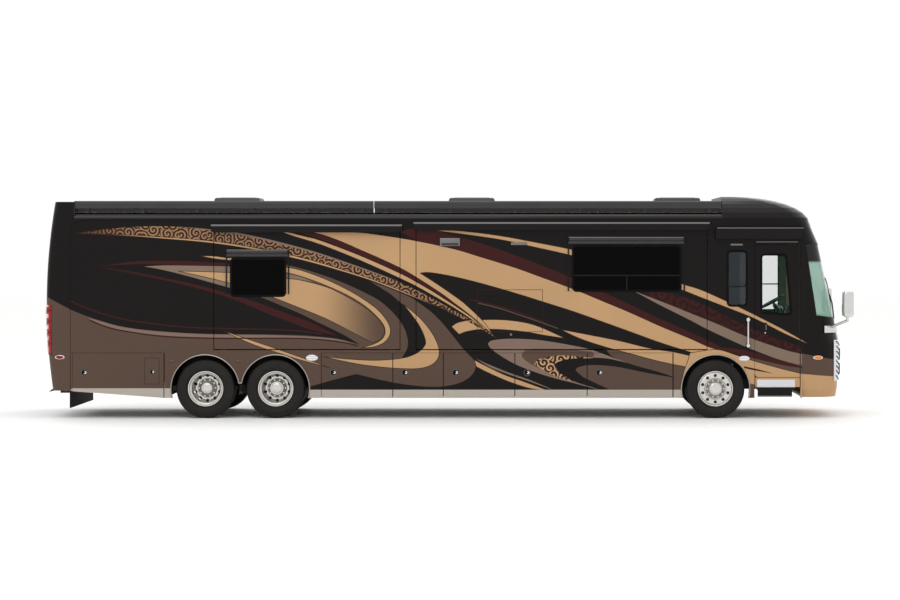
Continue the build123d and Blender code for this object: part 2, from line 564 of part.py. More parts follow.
# Entry door, hinged at its front edge, and its window
DOOR_GLASS = [(DOOR_REAR_X + 100, 1815), (DOOR_REAR_X + 100, 2842), (DOOR_REAR_X + 545, 2842),
              (DOOR_REAR_X + 645, 1780)]
with BuildPart() as entry_door:
    with BuildSketch(wall_plane(RIGHT, DOOR_THICK)):
        window_hole((DOOR_REAR_X, DOOR_FRONT_X, DOOR_Z, DOOR_TOP), DOOR_CORNER_R)
        with Locations((DOOR_FRONT_X - 100, DOOR_TOP - 100), (DOOR_FRONT_X - 100, DOOR_Z + 100)):
            Rectangle(200, 200)
    extrude(amount=DOOR_THICK)
    fillet(entry_door.edges().filter_by(Axis.Z).sort_by(Axis.X)[-2:].sort_by(Axis.Y)[0], DOOR_HINGE_R)
    with BuildSketch(wall_plane(RIGHT, DOOR_THICK)):
        Polygon(*DOOR_GLASS, align=None)
        fillet(vertices(), 70)
    extrude(amount=DOOR_THICK, mode=Mode.SUBTRACT)
    bar((*DOOR_PIVOT, DOOR_TOP - 30), (*DOOR_PIVOT, DOOR_TOP + PART_GAP + 28), DOOR_PIN_R)
save(entry_door.part, "entry_door")
with BuildPart() as entry_glass:
    with BuildSketch(wall_plane(RIGHT, GLASS - GLASS_PROUD)):
        Polygon(*DOOR_GLASS, align=None)
        fillet(vertices(), 70)
        offset(amount=-SEAT_GAP, mode=Mode.REPLACE)
    extrude(amount=GLASS)
save(entry_glass.part, "entry_door_glass")


# Entry step under the stairwell, sliding out
STEP_X = (DOOR_REAR_X + 50, DOOR_FRONT_X - 140)
STEP_Z = (SKIRT_Z + 20, RISER_Z - 12)
STEP_DEPTH = 420
with BuildPart() as entry_step:
    block(*STEP_X, -HALF_W + 4, -HALF_W + STEP_DEPTH, STEP_Z[1] - 45, STEP_Z[1])
    block(*STEP_X, -HALF_W + 4, -HALF_W + 40, STEP_Z[0], STEP_Z[1])
    for x in STEP_X:
        inward = 30 if x == STEP_X[0] else -30
        block(x, x + inward, -HALF_W + STEP_DEPTH - 70, -HALF_W + STEP_DEPTH, STEP_Z[1],
              STAIR_Z - STAIR_PLATE - RUN_GAP)
save(entry_step.part, "entry_step")


# Roof: flat top with rounded long edges, hollow below
with BuildPart() as roof:
    with BuildSketch(Plane.YZ.offset(ROOF_REAR_X)):
        for inset, mode in ((0, Mode.ADD), (WALL, Mode.SUBTRACT)):
            half, top, radius = HALF_W - inset, ROOF_TOP - inset, ROOF_EDGE_R - inset
            with BuildLine():
                Line((-half, WALL_TOP), (half, WALL_TOP))
                RadiusArc((half, WALL_TOP), (half - radius, top), -radius)
                Line((half - radius, top), (radius - half, top))
                RadiusArc((radius - half, top), (-half, WALL_TOP), -radius)
            make_face(mode=mode)
    extrude(amount=VISOR_X - ROOF_REAR_X)
save(roof.part, "roof")


# Roof units: three air conditioners, a dome and a vent
UNIT_LENGTH = 900
UNIT_WIDTH = 760
UNIT_PLACES = (TAG_X + 433, DRIVE_X + 0.4426 * WHEELBASE, FRONT_X - 0.0787 * WHEELBASE)
# Columns: place, radius, height
ROUND_UNITS = ((FRONT_X - 0.309 * WHEELBASE, 240, 190), (FRONT_X - 0.217 * WHEELBASE, 170, 130))
with BuildPart() as air_unit:
    with BuildSketch(Plane.XY.offset(ROOF_TOP)):
        Rectangle(UNIT_LENGTH, UNIT_WIDTH)
    extrude(amount=UNIT_TOP - ROOF_TOP, taper=12)
    fillet(air_unit.edges().filter_by(Axis.Z, reverse=True).group_by(Axis.Z)[-1], 40)
with BuildPart() as roof_units:
    for x in UNIT_PLACES:
        with Locations((x, 0, 0)):
            add(air_unit.part)
    for x, radius, height in ROUND_UNITS:
        bar((x, 0, ROOF_TOP), (x, 0, ROOF_TOP + height), radius)
save(roof_units.part, "roof_units")


# Awnings: two roof cases on rails and brackets along the right edge, and one case over the entry door
CASE_Z = 3627
CASE_H = 130
CASE_Y = (HALF_W - 190, HALF_W - 35)
CASE_RAIL = 25
CASE_SPLIT = BEDROOM_START + 2750
CASES = ((ROOF_REAR_X + 4, CASE_SPLIT - 8), (CASE_SPLIT + 8, VISOR_X - 4))
DOOR_CASE = (DOOR_REAR_X - 680, FRONT_SEAM_X - 6, 3103, 3281)
with BuildPart() as awnings:
    for x0, x1 in CASES:
        block(x0, x1, -CASE_Y[0], -CASE_Y[1], CASE_Z, CASE_Z + CASE_H)
        block(x0, x1, -CASE_Y[0], -CASE_Y[0] - CASE_RAIL, ROOF_TOP, CASE_Z)
        for n in range(6):
            x = x0 + 200 + n * (x1 - x0 - 400) / 5
            block(x - 40, x + 40, -CASE_Y[0], -CASE_Y[0] - 60, ROOF_TOP, CASE_Z)
    fillet(awnings.edges().filter_by(Axis.X).group_by(Axis.Z)[-1], 45)
    block(DOOR_CASE[0], DOOR_CASE[1], -HALF_W, -HALF_W - 110, DOOR_CASE[2], DOOR_CASE[3])
save(awnings.part, "awnings")


# Front cap: lofted from plan sections, hollow, open to the cab
# Columns: height, setback of the nose behind NOSE_X, tuck of each side, corner radius
CAP_SECTIONS = [
    (SKIRT_Z + 10, 70, 80, 400), (500, 46, 25, 420), (780, 24, 5, 430), (1290, 20, 0, 430), (1450, 56, 0, 430),
    (1780, 108, 0, 420), (3020, 375, 0, 300), (3140, 428, 0, 280), (3260, 480, 0, 260)]
# The brow above is a quarter ellipse in side view, drawn in as far as BROW_END degrees
BROW_SETBACK = 525
BROW_LENGTH = 1350
BROW_TUCK = 290
BROW_CORNERS = (250, 390)
BROW_END = 78
BROW_STEPS = 8
for step in range(BROW_STEPS + 1):
    angle = radians(BROW_END * (1 - (1 - step / BROW_STEPS) ** 1.25))
    drawn_in = 1 - cos(angle)
    corner = BROW_CORNERS[0] + (BROW_CORNERS[1] - BROW_CORNERS[0]) * drawn_in
    CAP_SECTIONS.append((BROW_Z + BROW_H * sin(angle), BROW_SETBACK + BROW_LENGTH * drawn_in,
                         BROW_TUCK * drawn_in, corner))
CAP_CROWN_R = 6500


def cap_form(grow, back_x, ends=0.0):
    """Front cap's outer form grown outward in plan, from back_x forward, its ends moved inward along Z."""
    with BuildPart() as form:
        last = len(CAP_SECTIONS) - 1
        for index, (z, setback, tuck, corner_r) in enumerate(CAP_SECTIONS):
            level = z + (ends if index == 0 else -ends if index == last else 0)
            half, nose = HALF_W - tuck + grow, NOSE_X - setback + grow
            crown, corner = CAP_CROWN_R + grow, corner_r + grow
            middle_x, middle_y = nose - crown, half - corner
            corner_x = middle_x + sqrt((crown - corner) ** 2 - middle_y ** 2)
            along = Vector(corner_x - middle_x, middle_y).normalized()
            halfway = (along + Vector(0, 1)).normalized()
            meet_x, meet_y = middle_x + crown * along.X, crown * along.Y
            bend_x, bend_y = corner_x + corner * halfway.X, middle_y + corner * halfway.Y
            with BuildSketch(Plane.XY.offset(level)):
                with BuildLine():
                    Line((back_x, half), (back_x, -half))
                    Line((back_x, -half), (corner_x, -half))
                    ThreePointArc((corner_x, -half), (bend_x, -bend_y), (meet_x, -meet_y))
                    ThreePointArc((meet_x, -meet_y), (nose, 0), (meet_x, meet_y))
                    ThreePointArc((meet_x, meet_y), (bend_x, bend_y), (corner_x, half))
                    Line((corner_x, half), (back_x, half))
                make_face()
        loft(ruled=True)
    return form.part


WINDSHIELD_Z = (1700, 2995)
WINDSHIELD_REAR = (FRONT_SEAM_X + 254, FRONT_SEAM_X + 69)
cap_outer = cap_form(0, VISOR_X)


def windshield_prism(inset):
    """Side outline of the windshield opening, drawn across the whole width."""
    low, high = WINDSHIELD_Z
    with BuildPart() as prism:
        with BuildSketch(Plane.XZ):
            Polygon((WINDSHIELD_REAR[1] + inset, high - inset),
                    (WINDSHIELD_REAR[0] + inset, low + 80 + inset),
                    (NOSE_X + 100, low + inset), (NOSE_X + 100, high - inset), align=None)
        extrude(amount=HALF_W + 50, both=True)
    return prism.part


with BuildPart() as front_cap:
    add(cap_outer)
    add(cap_form(-SHELL, VISOR_X + SHELL, SHELL), mode=Mode.SUBTRACT)
    with BuildSketch(Plane.XZ):
        Polygon((VISOR_X - 10, 0), (FRONT_SEAM_X, 0), (FRONT_SEAM_X, WALL_TOP - WALL_NOTCH[1]),
                (FRONT_SEAM_X - WALL_NOTCH[0], WALL_TOP), (VISOR_X - 10, WALL_TOP), align=None)
    extrude(amount=HALF_W + 10, both=True, mode=Mode.SUBTRACT)
    add(windshield_prism(0), mode=Mode.SUBTRACT)
save(front_cap.part, "front_cap")

with BuildPart() as windshield:
    add(cap_form(-6, VISOR_X))
    add(cap_form(-6 - GLASS, VISOR_X - 10), mode=Mode.SUBTRACT)
    add(windshield_prism(SEAT_GAP), mode=Mode.INTERSECT)
save(windshield.part, "windshield")


# Front trim standing on the cap: grille, headlamps and mirror feet
GRILLE_HALF_W = 560
GRILLE_Z = (760, 1440)
GRILLE_BARS = 9
GRILLE_PROUD = 20
LAMP_Z = (640, 1350)
LAMP_Y = 660
LAMP_X = NOSE_X - 190
skin_gap = cap_form(SEAT_GAP, VISOR_X)
with BuildPart() as grille:
    block(FRONT_SEAM_X + 200, NOSE_X + 50, -GRILLE_HALF_W, GRILLE_HALF_W, *GRILLE_Z)
    add(cap_form(GRILLE_PROUD, VISOR_X), mode=Mode.INTERSECT)
    add(skin_gap, mode=Mode.SUBTRACT)
    pitch = (GRILLE_Z[1] - GRILLE_Z[0] - 90) / GRILLE_BARS
    for n in range(GRILLE_BARS):
        z = GRILLE_Z[0] + 45 + (n + 0.5) * pitch
        block(FRONT_SEAM_X, NOSE_X + 60, 45 - GRILLE_HALF_W, GRILLE_HALF_W - 45,
              z - pitch * 0.3, z + pitch * 0.3, mode=Mode.SUBTRACT)
save(grille.part, "grille")
with BuildPart() as headlamps:
    for side in SIDES.values():
        block(LAMP_X, NOSE_X + 50, side * LAMP_Y, side * (HALF_W + 50), *LAMP_Z)
    add(cap_form(GRILLE_PROUD - 4, VISOR_X), mode=Mode.INTERSECT)
    add(skin_gap, mode=Mode.SUBTRACT)
save(headlamps.part, "headlamps")

MIRROR_Z = (1757, 2206)
MIRROR_Y = (1340, 1600)
MIRROR_DEEP = 180
FOOT_Z = (1480, 1600)
ARM_R = 22
ELBOW = (MIRROR_X - 95, -MIRROR_Y[0] - 110, MIRROR_Z[0] - 60)
with BuildPart() as mirror_foot:
    block(FRONT_SEAM_X + 390, NOSE_X, -1010, -HALF_W - 60, *FOOT_Z)
    add(cap_form(35, VISOR_X), mode=Mode.INTERSECT)
    bar((FRONT_SEAM_X + 430, -1130, 1540), ELBOW, ARM_R)
    add(skin_gap, mode=Mode.SUBTRACT)
with BuildPart() as mirror_head:
    block(MIRROR_X - MIRROR_DEEP, MIRROR_X, -MIRROR_Y[0], -MIRROR_Y[1], *MIRROR_Z)
    fillet(mirror_head.edges(), 50)
    bar(ELBOW, (ELBOW[0], ELBOW[1], MIRROR_Z[0] + 30), ARM_R)
    with Locations(ELBOW):
        Sphere(ARM_R + 3)
    add(mirror_foot.part)
with BuildPart() as mirrors:
    add(mirror_head.part)
    add(mirrored(mirror_head.part))
save(mirrors.part, "mirrors")


# Rear cap: bulged rear face with rounded corners, hollow, open to the coach below the roof
CAP_Z = 480
REAR_TOP = 3740
REAR_CORNER_R = 140
REAR_LOUVRES = 8
TAIL_PROUD = 10
LIP_HALF_W = 950
LIP_Z = (440, 520)


def rear_form(inset, opened):
    """Rear cap's form shrunk by inset, reaching past the wall seam and the bottom where opened."""
    low, high = CAP_Z - opened, REAR_TOP - inset
    seam_x = REAR_SEAM_X + opened
    rear_x = REAR_X + TAIL_PROUD + inset
    with BuildPart() as form:
        with BuildSketch(Plane.XZ):
            with BuildLine():
                ThreePointArc((rear_x + 110, low), (rear_x, 1925), (rear_x + 150, high))
                Polyline((rear_x + 150, high), (ROOF_REAR_X - max(inset, 0), high),
                         (ROOF_REAR_X - max(inset, 0), WALL_TOP), (seam_x, WALL_TOP), (seam_x, low),
                         (rear_x + 110, low))
            make_face()
        extrude(amount=HALF_W - inset, both=True)
        back = form.faces().sort_by(Axis.X)[0]
        fillet([e for e in back.edges() if abs(e.center().Y) > HALF_W - inset - 1], REAR_CORNER_R - inset)
    return form.part


with BuildPart() as rear_cap:
    add(rear_form(0, 0))
    add(rear_form(SHELL, 10), mode=Mode.SUBTRACT)
    with BuildSketch(Plane.XZ):
        Polygon((REAR_X + 14, LIP_Z[0]), (REAR_X + 150, LIP_Z[0] + 30), (REAR_X + 150, LIP_Z[1]),
                (REAR_X + 105, LIP_Z[1]), (REAR_X + 14, LIP_Z[0] + 15), align=None)
    extrude(amount=LIP_HALF_W, both=True)
    for n in range(REAR_LOUVRES):
        z = 700 + n * 75
        block(REAR_X - 10, REAR_X + 150, -620, 620, z, z + 34, mode=Mode.SUBTRACT)
save(rear_cap.part, "rear_cap")

TAIL_LAMP_Z = (1096, 1960)
with BuildPart() as tail_lamps:
    for side in SIDES.values():
        block(REAR_X - 50, REAR_X + 115, side * 1110, side * (HALF_W + 40), *TAIL_LAMP_Z)
    add(rear_form(-TAIL_PROUD, 0), mode=Mode.INTERSECT)
    add(rear_form(-SEAT_GAP, 0), mode=Mode.SUBTRACT)
save(tail_lamps.part, "tail_lamps")


# Full-width flap behind the rear overhang
FLAP_X = FRAME_REAR_X + CROSS_W
FLAP_Z = 165
with BuildPart() as mud_flap:
    block(FLAP_X, FLAP_X + 12, -1050, 1050, FLAP_Z, BEAM_Z + BEAM_H)
save(mud_flap.part, "mud_flap")


# Cab: dashboard with the steering column, seats and steering wheel
DASH_X = FRONT_SEAM_X - 10
DASH_TOP = 1900
COLUMN_FOOT = (DASH_X - 40, 620, 1500)
WHEEL_HUB = (DASH_X - 300, 620, 1975)
STEER_R = 235
with BuildPart() as dashboard:
    with BuildSketch(Plane.XZ.offset(-HALF_W + 120)):
        Polygon((DASH_X - 260, 1450), (DASH_X - 160, DASH_TOP), (DASH_X + 190, DASH_TOP - 40),
                (DASH_X + 190, 1350), (DASH_X + 60, FLOOR_TOP), (DASH_X - 120, FLOOR_TOP), align=None)
    extrude(amount=HALF_W - 120 + 470)
    column = Vector(*WHEEL_HUB) - Vector(*COLUMN_FOOT)
    tip = Vector(*WHEEL_HUB) - column.normalized() * 60
    bar(COLUMN_FOOT, (tip.X, tip.Y, tip.Z), 40)
save(dashboard.part, "dashboard")

with BuildPart() as steering_wheel:
    wheel_plane = Plane(origin=WHEEL_HUB, z_dir=column)
    with BuildSketch(Plane(origin=WHEEL_HUB, x_dir=wheel_plane.x_dir, z_dir=wheel_plane.y_dir)):
        with Locations((STEER_R, 0)):
            Circle(17)
    revolve(axis=Axis(WHEEL_HUB, column))
    with BuildSketch(wheel_plane):
        Circle(70)
    extrude(amount=30, both=True)
    with BuildSketch(wheel_plane):
        with PolarLocations(STEER_R / 2, 4, start_angle=45):
            Rectangle(STEER_R - 10, 30)
    extrude(amount=9, both=True)
    foot = tip + column.normalized() * SEAT_GAP
    bar((foot.X, foot.Y, foot.Z), WHEEL_HUB, 22)
save(steering_wheel.part, "steering_wheel")

# Seats: centre of the cushion in plan
SEAT_PLACES = ((DASH_X - 960, 620), (DOOR_REAR_X - 420, -640))
SEAT_W = 560
with BuildPart() as cab_seats:
    for x, y in SEAT_PLACES:
        bar((x, y, FLOOR_TOP), (x, y, FLOOR_TOP + 300), 130)
        block(x - 280, x + 280, y - SEAT_W / 2, y + SEAT_W / 2, FLOOR_TOP + 300, FLOOR_TOP + 460)
        with BuildSketch(Plane.XZ.offset(-y + SEAT_W / 2)):
            Polygon((x - 280, FLOOR_TOP + 460), (x - 130, FLOOR_TOP + 460), (x - 270, FLOOR_TOP + 1180),
                    (x - 400, FLOOR_TOP + 1160), align=None)
        extrude(amount=-SEAT_W)
save(cab_seats.part, "cab_seats")
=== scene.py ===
"""Finishes, stripes, trim and stage for the motorhome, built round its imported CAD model."""

import json
import math

import bmesh
import bpy
from mathutils import Matrix, Vector
from mathutils.bvhtree import BVHTree
from mathutils.geometry import delaunay_2d_cdt

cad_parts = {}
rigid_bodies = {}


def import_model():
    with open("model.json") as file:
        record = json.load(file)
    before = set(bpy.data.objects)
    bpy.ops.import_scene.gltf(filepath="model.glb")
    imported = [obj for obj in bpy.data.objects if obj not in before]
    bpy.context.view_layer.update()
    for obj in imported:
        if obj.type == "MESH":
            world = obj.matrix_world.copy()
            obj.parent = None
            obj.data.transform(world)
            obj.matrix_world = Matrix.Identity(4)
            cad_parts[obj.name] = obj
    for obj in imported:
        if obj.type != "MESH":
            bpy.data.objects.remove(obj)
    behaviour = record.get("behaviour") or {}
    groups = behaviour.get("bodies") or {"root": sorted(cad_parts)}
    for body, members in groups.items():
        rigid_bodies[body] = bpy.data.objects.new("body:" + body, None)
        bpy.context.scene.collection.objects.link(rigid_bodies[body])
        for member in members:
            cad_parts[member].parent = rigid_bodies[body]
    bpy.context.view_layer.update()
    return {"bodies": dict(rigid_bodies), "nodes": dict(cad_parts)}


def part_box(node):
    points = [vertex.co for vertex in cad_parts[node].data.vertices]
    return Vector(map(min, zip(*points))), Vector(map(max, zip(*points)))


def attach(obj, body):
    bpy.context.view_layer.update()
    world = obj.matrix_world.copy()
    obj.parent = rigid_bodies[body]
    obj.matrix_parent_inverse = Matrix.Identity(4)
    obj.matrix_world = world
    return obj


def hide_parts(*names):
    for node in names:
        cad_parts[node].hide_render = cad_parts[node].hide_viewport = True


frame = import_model()
NODES = frame["nodes"]
BODY_OF = {node: body for body, empty in frame["bodies"].items()
           for node in NODES if NODES[node].parent == empty}

bl_info = {
    "name": "Motorhome finishes",
    "version": (1, 0, 0),
    "blender": (4, 5, 0),
    "location": "View3D > Sidebar > Motorhome",
    "description": "Paint, stripes, trim, cab furniture and a studio for the motorhome",
    "category": "Object",
}

# Places read from the CAD model, in metres. side is -1 for the right of the vehicle and 1 for the left.
RIGHT, LEFT = -1, 1
SIDES = {"right": RIGHT, "left": LEFT}
HALF_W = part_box("side_wall_left")[1].y
WALL_FRONT_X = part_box("side_wall_right")[1].x
WALL_REAR_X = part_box("side_wall_right")[0].x
SKIRT_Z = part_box("skirt_panels")[0].z
BAY_DOORS = sorted(name for name in NODES if name.startswith("bay_door"))
ROOMS = [name for name in NODES if name.startswith("slideout") and not name.endswith("glass")]
TYRES = [name for name in NODES if "tyre" in name]
AXLE_Z = sum(corner.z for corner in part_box("front_tyre_right")) / 2
AXLES_X = {name: sum(corner.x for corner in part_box(f"{name}_right")) / 2
           for name in ("tag_tyre", "drive_tyres", "front_tyre")}
ARCH_R = 0.582

# Outlines of stripes and small trim are given in pixels of the photograph, which is square to the vehicle's side
PHOTO_SCALE = 0.01726
PHOTO_ZERO_X = 448.15
PHOTO_GROUND_Y = 418.5


def from_photo(x, y):
    """Place along the vehicle and height of a photograph's pixel on the right side's plane."""
    return (x - PHOTO_ZERO_X) * PHOTO_SCALE, (PHOTO_GROUND_Y - y) * PHOTO_SCALE


def linear(*channels):
    """Linear colour of sRGB channels from 0 to 255."""
    return tuple((c / 255 / 12.92) if c <= 10 else ((c / 255 + 0.055) / 1.055) ** 2.4 for c in channels)


# Settings

def colour(name, description, *channels):
    return bpy.props.FloatVectorProperty(name=name, description=description, subtype="COLOR", size=3,
                                         min=0.0, max=1.0, default=linear(*channels))


def length(name, description, default):
    return bpy.props.FloatProperty(name=name, description=description, subtype="DISTANCE", unit="LENGTH",
                                   min=0.0, default=default)


class COACH_PG_paints(bpy.types.PropertyGroup):
    """Colours of the body paint."""
    black: colour("Black", "Base coat", 13, 9, 8)
    taupe: colour("Taupe", "Broad lower fields", 84, 66, 56)
    rose: colour("Rose taupe", "Lighter lines along the taupe fields", 122, 101, 90)
    tan: colour("Tan", "Long bright stripes", 182, 145, 105)
    burgundy: colour("Burgundy", "Dark red stripes", 55, 17, 16)
    khaki: colour("Khaki", "Grey brown stripes", 122, 104, 90)
    edge: colour("Edge line", "Thin line round the bright stripes", 46, 26, 14)


class COACH_PG_sizes(bpy.types.PropertyGroup):
    """Sizes of the trim."""
    film: length("Stripe film", "Height of the stripes over the panels", 0.0008)
    edge_line: length("Edge line", "Width of the thin line round the bright stripes", 0.011)
    latch_r: length("Latch radius", "Radius of the baggage door latches", 0.058)
    arch_trim: length("Arch trim", "Width of the bright strip round the wheel arches", 0.021)
    groove: length("Tread groove", "Depth of the tread grooves", 0.013)
    sash: length("Sash bar", "Width of the window dividers", 0.022)


class COACH_PG_stage(bpy.types.PropertyGroup):
    """Camera and studio floor."""
    eye: bpy.props.FloatVectorProperty(name="Eye", description="Camera place", subtype="TRANSLATION", unit="LENGTH",
                                       size=3, default=(1.4475, -41.3, 2.995))
    lens: bpy.props.FloatProperty(name="Lens", description="Focal length in millimetres", default=92.75)
    shift: bpy.props.FloatVectorProperty(name="Shift",
                                         description="Share of the picture's width that the frame is moved",
                                         size=2, default=(-82 / 900, -55 / 900))
    floor: colour("Floor", "Studio floor", 255, 255, 254)


# Shaders

class Wire:
    """A socket that takes part in sums: each operator adds one Math node."""

    def __init__(self, finish, socket):
        self.finish = finish
        self.socket = socket

    def _math(self, operation, *values):
        return self.finish.node("ShaderNodeMath", {"operation": operation}, dict(enumerate(values)))

    def __add__(self, other):
        return self._math("ADD", self, other)

    __radd__ = __add__

    def __sub__(self, other):
        return self._math("SUBTRACT", self, other)

    def __rsub__(self, other):
        return self._math("SUBTRACT", other, self)

    def __mul__(self, other):
        return self._math("MULTIPLY", self, other)

    __rmul__ = __mul__

    def __lt__(self, other):
        return self._math("LESS_THAN", self, other)

    def __abs__(self):
        return self._math("ABSOLUTE", self)

    def apply(self, operation, *others):
        """Any other Math operation on this value."""
        return self._math(operation, self, *others)

    def smooth(self, low, high):
        """0 below low, 1 above high, with a soft passage."""
        return self.finish.node("ShaderNodeMapRange", {"interpolation_type": "SMOOTHSTEP"},
                                {"Value": self, "From Min": low, "From Max": high})


class Finish:
    """A procedural material on the Principled shader."""

    def __init__(self, name, **constants):
        self.material = bpy.data.materials.new(name)
        self.material.use_nodes = True
        self.tree = self.material.node_tree
        self.shader = self.tree.nodes["Principled BSDF"]
        self.set(**constants)

    def node(self, kind, settings=None, inputs=None, out=0):
        """Adds a node with its settings, then the values or links of its sockets, and gives one output."""
        made = self.tree.nodes.new(kind)
        for key, value in (settings or {}).items():
            setattr(made, key, value)
        for key, value in (inputs or {}).items():
            self.link(made.inputs[key], value)
        return Wire(self, made.outputs[out])

    def link(self, socket, value):
        if isinstance(value, Wire):
            self.tree.links.new(value.socket, socket)
        elif hasattr(value, "__len__") and len(value) == 3 and socket.type == "RGBA":
            socket.default_value = (*value, 1)
        else:
            socket.default_value = value

    def set(self, **values):
        """Sets or links the shader's sockets: base_color becomes Base Color."""
        for key, value in values.items():
            name = {"coat_ior": "Coat IOR", "specular": "Specular IOR Level"}.get(key, key.replace("_", " ").title())
            self.link(self.shader.inputs[name], value)
        return self

    def place(self):
        """Object coordinates, which are the vehicle's own in metres."""
        return self.node("ShaderNodeTexCoord", out="Object")

    def axes(self):
        place = self.place()
        return [self.node("ShaderNodeSeparateXYZ", None, {0: place}, axis) for axis in range(3)]

    def stretched(self, *scales):
        return self.node("ShaderNodeMapping", {"vector_type": "POINT"}, {"Vector": self.place(), "Scale": scales})

    def noise(self, scale, detail=2.0, roughness=0.5, distortion=0.0, vector=None):
        return self.node("ShaderNodeTexNoise", {"noise_dimensions": "3D"},
                         {"Vector": vector or self.place(), "Scale": scale, "Detail": detail, "Roughness": roughness,
                          "Distortion": distortion})

    def mix(self, factor, first, second):
        return self.node("ShaderNodeMix", {"data_type": "RGBA"}, {0: factor, 6: first, 7: second}, 2)

    def clouded(self, cloud, shade):
        """A colour that varies a little with a noise."""
        return self.mix(cloud, tinted(shade, 0.9), tinted(shade, 1.1))

    def base(self):
        """What feeds the shader's colour so far."""
        return Wire(self, self.shader.inputs["Base Color"].links[0].from_socket)

    def bump(self, height, strength, distance):
        self.set(normal=self.node("ShaderNodeBump", None, {"Height": height, "Strength": strength,
                                                           "Distance": distance}))
        return self


FINISHES = {}


def tinted(shade, factor):
    return tuple(min(1.0, c * factor) for c in shade)


def paint(name, shade, second=None, mask=None):
    """Clear coated body paint with fine flake, in one colour or two that a mask parts."""
    made = Finish(name, specular=0.1, coat_roughness=0.09, coat_ior=1.5)
    flake = made.noise(900.0, 1.0)
    cloud = made.noise(0.7, 2.0)
    base = made.clouded(cloud, shade)
    if second:
        base = made.mix(mask(made), base, made.clouded(cloud, second))
    base = made.mix(flake.smooth(0.6, 0.8) * 0.25, base, tinted(second or shade, 1.35))
    normal = made.node("ShaderNodeNewGeometry", out="Normal")
    rise = made.node("ShaderNodeSeparateXYZ", None, {0: normal}, 2).smooth(0.02, 0.6)
    made.set(base_color=base, roughness=0.32 + 0.1 * cloud, coat_weight=0.1 - 0.03 * cloud + 0.9 * rise)
    return made.bump(made.noise(160.0, 1.0), 0.03, 0.002)


def scroll_mask(made, cell, pitch, fade=None):
    """Scrollwork of spiral curls, one in each cell, that fades out toward the rear where fade is given."""
    x, _, z = made.axes()
    flat = made.node("ShaderNodeCombineXYZ", None, {0: x, 1: z})
    middle = made.node("ShaderNodeTexVoronoi", {"voronoi_dimensions": "2D"},
                       {"Vector": flat, "Scale": 1 / cell, "Randomness": 0.75}, "Position")
    away = made.node("ShaderNodeVectorMath", {"operation": "SUBTRACT"}, {0: flat, 1: middle})
    along, up = (made.node("ShaderNodeSeparateXYZ", None, {0: away}, axis) for axis in (0, 1))
    reach = made.node("ShaderNodeVectorMath", {"operation": "LENGTH"}, {0: away}, "Value")
    turn = up.apply("ARCTAN2", along)
    curl = (turn + reach * (2 * math.pi / pitch)).apply("SINE").smooth(-0.05, 0.3)
    return curl * x.smooth(*fade) if fade else curl


def metal(name, shade, rough, stretch=(1, 1, 1), scale=60.0, depth=0.0):
    made = Finish(name, metallic=1.0)
    # The grain lightens and darkens the colour; on the sill its coarse, stretched blotches are a painted reflection
    grain = made.noise(scale, 4.0, 0.6, vector=made.stretched(*stretch))
    made.set(base_color=made.mix(grain, tinted(shade, 0.86), tinted(shade, 1.08)),
             roughness=rough + 0.16 * (grain - 0.5))
    return made.bump(grain, 0.25, depth) if depth else made


# Wheels: axle's place along the vehicle, and distance of the disc's face from the vehicle's middle plane
WHEEL_FACES = {"front_wheel": (AXLES_X["front_tyre"], 1.226), "drive_wheels": (AXLES_X["drive_tyres"], 0.952),
               "tag_wheel": (AXLES_X["tag_tyre"], 0.952)}


def wheel_alloy(name, axle_x, face_y):
    """Polished alloy, with painted shade, tinted like brake dust, on the recessed disc round its nuts, and painted
    shade in the groove near the rim.
    """
    made = Finish(name, metallic=0.8)
    x, y, z = made.axes()
    radius = ((x - axle_x) * (x - axle_x) + (z - AXLE_Z) * (z - AXLE_Z)).apply("SQRT")
    # Painted shade, tinted like brake dust, on the recessed disc round the nuts
    dust_and_shade = radius.smooth(0.108, 0.122) * (1 - radius.smooth(0.158, 0.18)) * (abs(y) < face_y)
    rings = made.noise(40.0, 3.0, vector=made.node("ShaderNodeCombineXYZ", None, {0: radius * 9.0, 1: y}))
    bright = made.mix(rings, linear(184, 180, 175), linear(222, 219, 215))
    # Painted shade in the groove near the rim
    groove = radius.smooth(0.279, 0.283) * (1 - radius.smooth(0.287, 0.291))
    painted_shade = dust_and_shade * 0.7 + groove * 0.6
    return made.set(base_color=made.mix(painted_shade, bright, linear(70, 61, 52)),
                    roughness=0.2 + 0.35 * dust_and_shade + 0.1 * (rings - 0.5))


def plastic(name, shade, rough, scale=420.0, depth=0.0006, worn=1.25, shine=0.4):
    made = Finish(name, specular=shine)
    grain = made.noise(scale, 3.0)
    dust_and_shade = made.noise(3.0, 3.0)
    made.set(base_color=made.mix(dust_and_shade.smooth(0.35, 0.75), shade, tinted(shade, worn)),
             roughness=rough + 0.14 * (dust_and_shade - 0.5))
    return made.bump(grain, 0.35, depth)


def glass(name, shade, alpha, rough=0.03, shine=0.3):
    made = Finish(name, specular=shine, alpha=alpha)
    smear = made.noise(5.0, 3.0, 0.6)
    return made.set(base_color=made.mix(smear, tinted(shade, 0.85), shade),
                    roughness=rough + 0.04 * smear.smooth(0.45, 0.75))


# Lower edge of the windshield's dark band
SCREEN_BAND_Z = 2.7


def screen_glass(name, shade, alpha, band):
    """Windshield glass with a dark band along its top."""
    made = glass(name, shade, alpha)
    dark = made.axes()[2].smooth(SCREEN_BAND_Z - 0.03, SCREEN_BAND_Z + 0.03)
    return made.set(base_color=made.mix(dark, made.base(), band), alpha=alpha + dark * (0.97 - alpha))


# Height of one cell in the tail lamps, each with a band of painted highlight and a dark line
TAIL_CELL = 0.19


